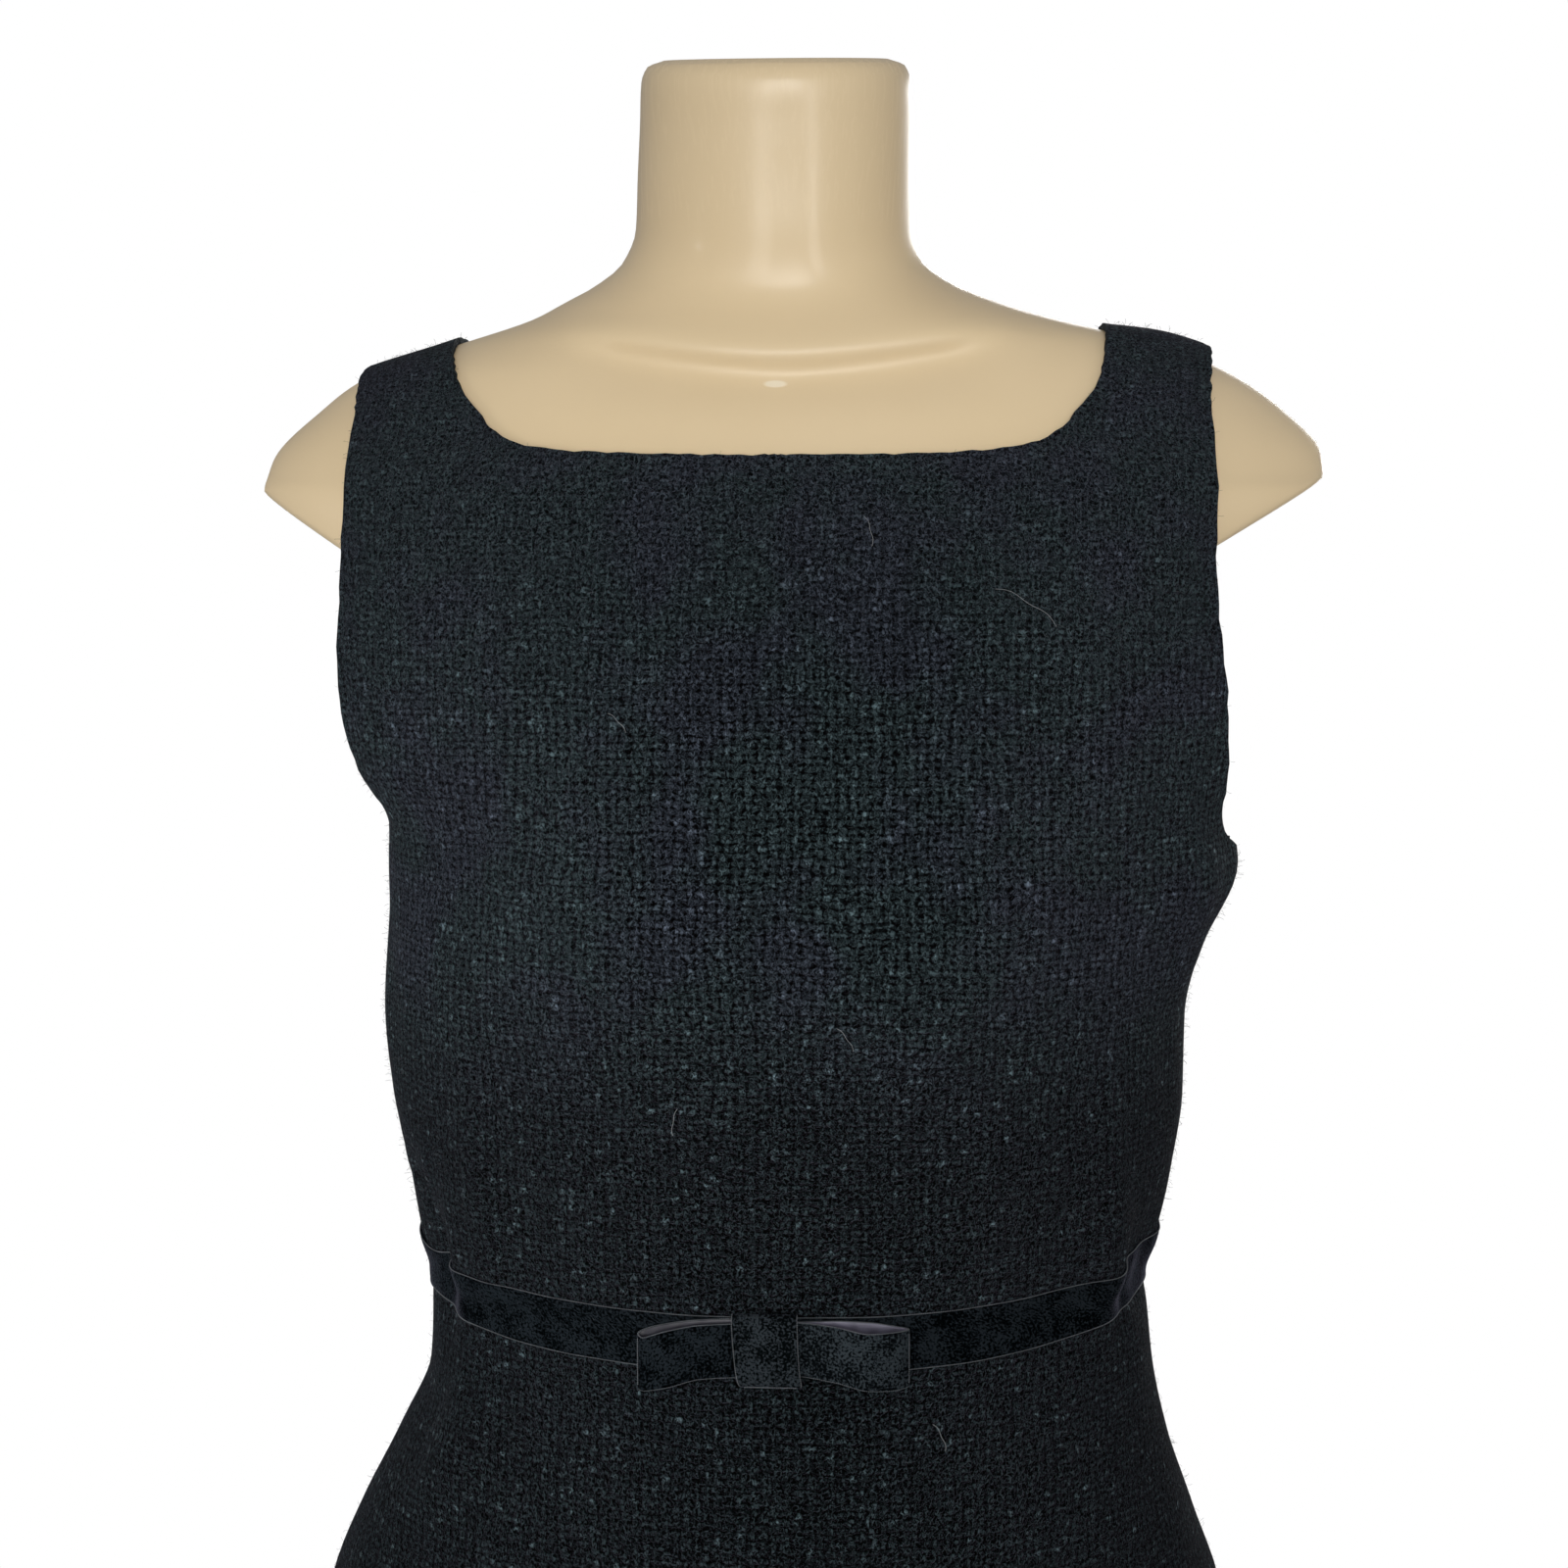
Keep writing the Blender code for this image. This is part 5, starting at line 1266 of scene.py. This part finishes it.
def turned_steel():
    """Stainless steel, turned and brushed in rings round its axis, drawn 0.8 mm apart so that they show."""
    material, tree, shader = new_material("turned_stainless_steel", Metallic=1.0, Roughness=0.34)
    place = add(tree, COORDS).outputs["Object"]
    high = add(tree, SPLIT, {0: place}).outputs[2]
    flat = add(tree, VECTOR, {0: place, 1: (1, 1, 0)}, operation="MULTIPLY")
    radius = add(tree, VECTOR, {0: flat}, operation="LENGTH")
    rings = add(tree, JOIN, {0: radius.outputs["Value"], 1: high})
    brushed = add(tree, NOISE, {"Vector": rings, "Scale": 1000 / 0.8, "Detail": 3.0, "Roughness": 0.7},
                  noise_dimensions="2D")
    colour = add(tree, MIX, {0: brushed, 6: srgb("#A6A7A8"), 7: srgb("#D2D2D0")}, data_type="RGBA")
    gloss = add(tree, RANGE, {"Value": brushed, "To Min": 0.26, "To Max": 0.44})
    bump = add(tree, BUMP, {"Height": brushed, "Distance": 0.00005, "Strength": 0.4})
    fill(tree, shader, {"Base Color": colour.outputs[2], "Roughness": gloss, "Normal": bump})
    return material


# Repeated parts, by Geometry Nodes


def node_group(name, inputs):
    tree = bpy.data.node_groups.new(name, "GeometryNodeTree")
    tree.interface.new_socket("Geometry", in_out="INPUT", socket_type="NodeSocketGeometry")
    for label, kind in inputs:
        tree.interface.new_socket(label, in_out="INPUT", socket_type=kind)
    tree.interface.new_socket("Geometry", in_out="OUTPUT", socket_type="NodeSocketGeometry")
    return tree, add(tree, "NodeGroupInput")


def end_group(tree, geometry, material):
    """Real geometry in its material, as what the tree gives."""
    real = add(tree, "GeometryNodeRealizeInstances", {0: geometry})
    done = add(tree, "GeometryNodeSetMaterial", {"Geometry": real, "Material": material})
    add(tree, "NodeGroupOutput", {0: done})
    return tree


def grow(name, base, tree, values):
    """A plain mesh of what the tree makes on a base, which is then removed."""
    modifier = base.modifiers.new("Grow", "NODES")
    modifier.node_group = tree
    for item in tree.interface.items_tree:
        if item.in_out == "INPUT" and item.name in values:
            modifier[item.identifier] = values[item.name]
    graph = bpy.context.evaluated_depsgraph_get()
    mesh = bpy.data.meshes.new_from_object(base.evaluated_get(graph), depsgraph=graph)
    mesh.name = name
    mesh.shade_smooth()
    base.modifiers.remove(modifier)
    bpy.data.objects.remove(base)
    return link_object(name, mesh)


def selvedge_tree():
    """Short ribs of thread, one after another along a line."""
    tree, given = node_group("selvedge_ribs", [
        ("Rib spacing", "NodeSocketFloat"), ("Rib width", "NodeSocketFloat"), ("Thread", "NodeSocketMaterial")])
    line = add(tree, "GeometryNodeMeshToCurve", {0: given.outputs["Geometry"]})
    spots = add(tree, "GeometryNodeCurveToPoints", {"Curve": line, "Length": given.outputs["Rib spacing"]},
                mode="LENGTH")
    rib = add(tree, "GeometryNodeMeshIcoSphere", {"Radius": 0.5, "Subdivisions": 1})
    long = add(tree, MATH, {0: given.outputs["Rib spacing"], 1: 0.92}, operation="MULTIPLY")
    size = add(tree, JOIN, {0: given.outputs["Rib width"], 1: given.outputs["Rib width"], 2: long})
    row = add(tree, "GeometryNodeInstanceOnPoints", {
        "Points": spots, "Instance": rib, "Rotation": spots.outputs["Rotation"], "Scale": size})
    return end_group(tree, row, given.outputs["Thread"])


def fuzz_tree():
    """Thin curled fibres that stand off a cloth at all slants."""
    tree, given = node_group("loose_fibres", [
        ("Fibres per square metre", "NodeSocketFloat"), ("Length", "NodeSocketFloat"),
        ("Thickness", "NodeSocketFloat"), ("Seed", "NodeSocketInt"), ("Fibre", "NodeSocketMaterial")])
    spots = add(tree, "GeometryNodeDistributePointsOnFaces", {
        "Mesh": given.outputs["Geometry"], "Density": given.outputs["Fibres per square metre"],
        "Seed": given.outputs["Seed"]})
    bend = add(tree, "GeometryNodeCurveQuadraticBezier", {
        "Resolution": 3, "Start": FUZZ_BEND[0], "Middle": FUZZ_BEND[1], "End": FUZZ_BEND[2]})
    long = add(tree, JOIN, {k: given.outputs["Length"] for k in range(3)})
    long = add(tree, "GeometryNodeTransform", {"Geometry": bend, "Scale": long})
    section = add(tree, "GeometryNodeCurvePrimitiveCircle", {
        "Resolution": 3, "Radius": given.outputs["Thickness"]})
    strand = add(tree, "GeometryNodeCurveToMesh", {"Curve": long, "Profile Curve": section})
    spin = add(tree, "FunctionNodeRandomValue", {
        0: (-FUZZ_SLANT, -FUZZ_SLANT, 0.0), 1: (FUZZ_SLANT, FUZZ_SLANT, math.tau), "Seed": 5},
        data_type="FLOAT_VECTOR")
    spin = add(tree, "FunctionNodeEulerToRotation", {0: spin.outputs[0]})
    stance = add(tree, "FunctionNodeRotateRotation", {
        "Rotation": spots.outputs["Rotation"], "Rotate By": spin}, rotation_space="LOCAL")
    size = add(tree, "FunctionNodeRandomValue", {2: FUZZ_SIZES[0], 3: FUZZ_SIZES[1], "Seed": 9}, data_type="FLOAT")
    size = add(tree, JOIN, {k: size.outputs[1] for k in range(3)})
    row = add(tree, "GeometryNodeInstanceOnPoints", {
        "Points": spots, "Instance": strand, "Rotation": stance, "Scale": size})
    return end_group(tree, row, given.outputs["Fibre"])


def hair_tree():
    """Single long hairs that follow their lines."""
    tree, given = node_group("stray_hairs", [
        ("Thickness", "NodeSocketFloat"), ("Fibre", "NodeSocketMaterial")])
    line = add(tree, "GeometryNodeMeshToCurve", {0: given.outputs["Geometry"]})
    section = add(tree, "GeometryNodeCurvePrimitiveCircle", {"Resolution": 4, "Radius": given.outputs["Thickness"]})
    hair = add(tree, "GeometryNodeCurveToMesh", {"Curve": line, "Profile Curve": section})
    return end_group(tree, hair, given.outputs["Fibre"])


def hair_lines():
    """Each hair's points on the front of the cloth, with a soft curl."""
    lines = []
    for hair in STRAY_HAIRS:
        t = np.linspace(0, 1, 15)
        curl = hair.curl * np.sin(math.pi * t) + 0.3 * hair.curl * np.sin(3 * math.pi * t)
        run = np.array([hair.x_end - hair.x, hair.z_end - hair.z])
        aside = np.array([-run[1], run[0]]) / np.hypot(*run)
        x, z = mix(hair.x, hair.x_end, t) + curl * aside[0], mix(hair.z, hair.z_end, t) + curl * aside[1]
        lines.append(cloth_points(DRESS.turn_at(x, z, -1), z, 0.35 + 0.5 * np.sin(math.pi * t)))
    return lines


def line_object(lines):
    """Loose edges along lists of points, for a tree to follow."""
    mesh = bpy.data.meshes.new("lines")
    points, edges, count = [], [], 0
    for line in lines:
        points += (np.asarray(line) * MM).tolist()
        edges += [(count + k, count + k + 1) for k in range(len(line) - 1)]
        count += len(line)
    mesh.from_pydata(points, edges, [])
    return link_object("lines", mesh)


def bare_copy(obj):
    """The outside of a panel alone, as a base for what grows on it."""
    return link_object(obj.name + "_outside", obj.data.copy())


# Studio


def add_softbox(box):
    light = bpy.data.lights.new(box.name, "AREA")
    light.shape = "RECTANGLE"
    light.size, light.size_y = box.size
    light.energy = box.power
    light.spread = math.radians(box.spread)
    obj = link_object(box.name, light)
    obj.visible_camera = False
    obj.visible_diffuse = box.lights_up
    way = (Vector(box.target) - Vector(box.place)).to_track_quat("-Z", "Y")
    obj.matrix_world = Matrix.LocRotScale(Vector(box.place), way, None)


def set_studio(paper):
    """Camera, room light, softboxes and floor."""
    scene = bpy.context.scene
    scene.view_settings.view_transform = "Standard"
    camera = bpy.data.cameras.new("camera")
    camera.lens = LENS
    camera.sensor_width = 36
    camera.clip_end = 30
    scene.camera = link_object("camera", camera)
    scene.camera.location = CAMERA_PLACE
    scene.camera.rotation_euler = (math.radians(90 - CAMERA_DOWN), 0, math.radians(CAMERA_ROUND))

    world = bpy.data.worlds.new("white_sweep")
    world.use_nodes = True
    tree = world.node_tree
    tree.nodes.clear()
    lit = add(tree, "ShaderNodeBackground", {"Color": (1, 1, 1, 1), "Strength": ROOM_LIGHT})
    seen = add(tree, "ShaderNodeBackground", {"Color": (1, 1, 1, 1), "Strength": 1.0})
    path = add(tree, "ShaderNodeLightPath")
    both = add(tree, "ShaderNodeMixShader", {0: path.outputs["Is Camera Ray"], 1: lit, 2: seen})
    add(tree, "ShaderNodeOutputWorld", {0: both})
    scene.world = world

    for box in SOFTBOXES:
        add_softbox(box)

    turn = np.linspace(0, math.tau, 129)[None, :]
    radius = np.array(FLOOR_RADII)[:, None]
    points = np.stack([radius * np.cos(turn), radius * np.sin(turn), FLOOR_Z + 0 * radius * turn], -1)
    points[:, -1] = points[:, 0]
    pattern = Pattern()
    pattern.add_grid(points, points[..., :2], False)
    floor = pattern.make("studio_floor", [paper])


# The dress on its form


def main():
    boucle, lining = boucle_cloth(), black_lining()
    satin = satin_reverse("satin_ribbon_back", "#35333F", "#6A6778")
    # A darker copy of the satin for the left loop, where it lies in the fold: painted shade
    shaded_satin = satin_reverse("satin_ribbon_back_painted_shade", "#131318", "#2B2A32")
    # The velvet in three copies: darkest on the waist ribbon and left loop, lighter on the tab, lightest on the right
    # loop
    velvet = ribbon_velvet("cut_velvet_waist", "#020304", "#1D2226")
    bow_velvet = ribbon_velvet("cut_velvet_bow", "#040607", "#2B3034")
    lighter_right_loop_velvet = ribbon_velvet("cut_velvet_lighter", "#06080A", "#2D3337")
    # The ribbon's woven edge: shiny thread, in patches of pale and dark grey
    thread = two_tone("woven_selvedge", "#1E2124", "#6C7075", 5.5, 3, Roughness=0.5, Specular_IOR_Level=0.4)
    # Loose wool and viscose fibres that stand off the cloth, some of them pale
    fibre = two_tone("loose_fibres", "#1B2023", "#5E6367", 3, 1, (0.45, 0.75), Roughness=0.6, Specular_IOR_Level=0.3)
    plastic, steel = cream_plastic(), turned_steel()
    # Black enamel over cast zinc: glossy, with small worn patches that show grey
    enamel = two_tone("black_zip_enamel", "#0D0E10", "#3E4043", 1.4, 3, (0.6, 0.78),
                      Roughness=0.28, Coat_Weight=0.4, Coat_Roughness=0.12)
    # Plain matt white paper
    paper = two_tone("matt_white_paper", "#EDEDEC", "#F4F4F3", 5 / 3, 2, Roughness=0.9, Specular_IOR_Level=0.1)
    set_studio(paper)

    form = make_form(plastic)
    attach(form, "dress")
    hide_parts("form_torso")
    pole, base = make_stand(steel)
    for piece, node in ((pole, "stand_pole"), (base, "stand_base")):
        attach(piece, "dress")
        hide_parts(node)

    panels = make_panels(boucle, lining)
    fuzz = fuzz_tree()
    for count, (node, panel) in enumerate(panels.items()):
        density = FUZZ_ON_BODICE if node.startswith("bodice") else FUZZ_ON_SKIRT
        fibres = grow(node + "_fuzz", bare_copy(panel), fuzz, {
            "Fibres per square metre": density, "Length": FUZZ_LENGTH, "Thickness": FUZZ_THICKNESS,
            "Seed": FUZZ_SEED + count, "Fibre": fibre})
        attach(fibres, "dress")
        give_wall(panel, WALL_SHOWN if node.startswith("bodice") else CLOTH, -1, RIM_ROUND)
        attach(panel, "dress")
        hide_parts(node)

    # A few pale wool hairs caught on the cloth, off white with greyer roots
    pale = two_tone("pale_wool_hair", "#5C6064", "#A6A8A8", 4, 1, Roughness=0.5, Specular_IOR_Level=0.4)
    hairs = grow("stray_hairs", line_object(hair_lines()), hair_tree(), {"Thickness": HAIR_THICKNESS, "Fibre": pale})
    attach(hairs, "dress")

    ribbon, edges = make_waist_ribbon(velvet, satin)
    give_wall(ribbon, RIBBON_WALL, -1, RIBBON_ROUND)
    left, left_edges = make_loop("velvet_bow_loop_left", LEFT_LOOP, LEFT_DENTS, [velvet, shaded_satin])
    right, right_edges = make_loop("velvet_bow_loop_right", RIGHT_LOOP, RIGHT_DENTS, [lighter_right_loop_velvet, satin])
    tab, tab_edges = make_tab(bow_velvet, satin)
    for piece in (left, right, tab):
        give_wall(piece, BOW_WALL, 0, BOW_ROUND)
    for piece, node in ((ribbon, "waist_ribbon"), (left, "bow_loop_left"), (right, "bow_loop_right"), (tab, "bow_tab")):
        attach(piece, "dress")
        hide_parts(node)
    thread_tree = selvedge_tree()
    for name, lines, rib in (
            ("waist_ribbon_selvedges", edges, WAIST_RIBS),
            ("bow_selvedges", left_edges + right_edges + tab_edges, BOW_RIBS)):
        ribs = grow(name, line_object(lines), thread_tree, {
            "Rib spacing": rib.spacing, "Rib width": rib.width, "Thread": thread})
        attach(ribs, "dress")

    slider, pull = make_zip(enamel)
    for piece, node, body in ((slider, "zip_slider", "dress"), (pull, "zip_pull_tab", "pull_tab")):
        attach(piece, body)
        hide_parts(node)


main()
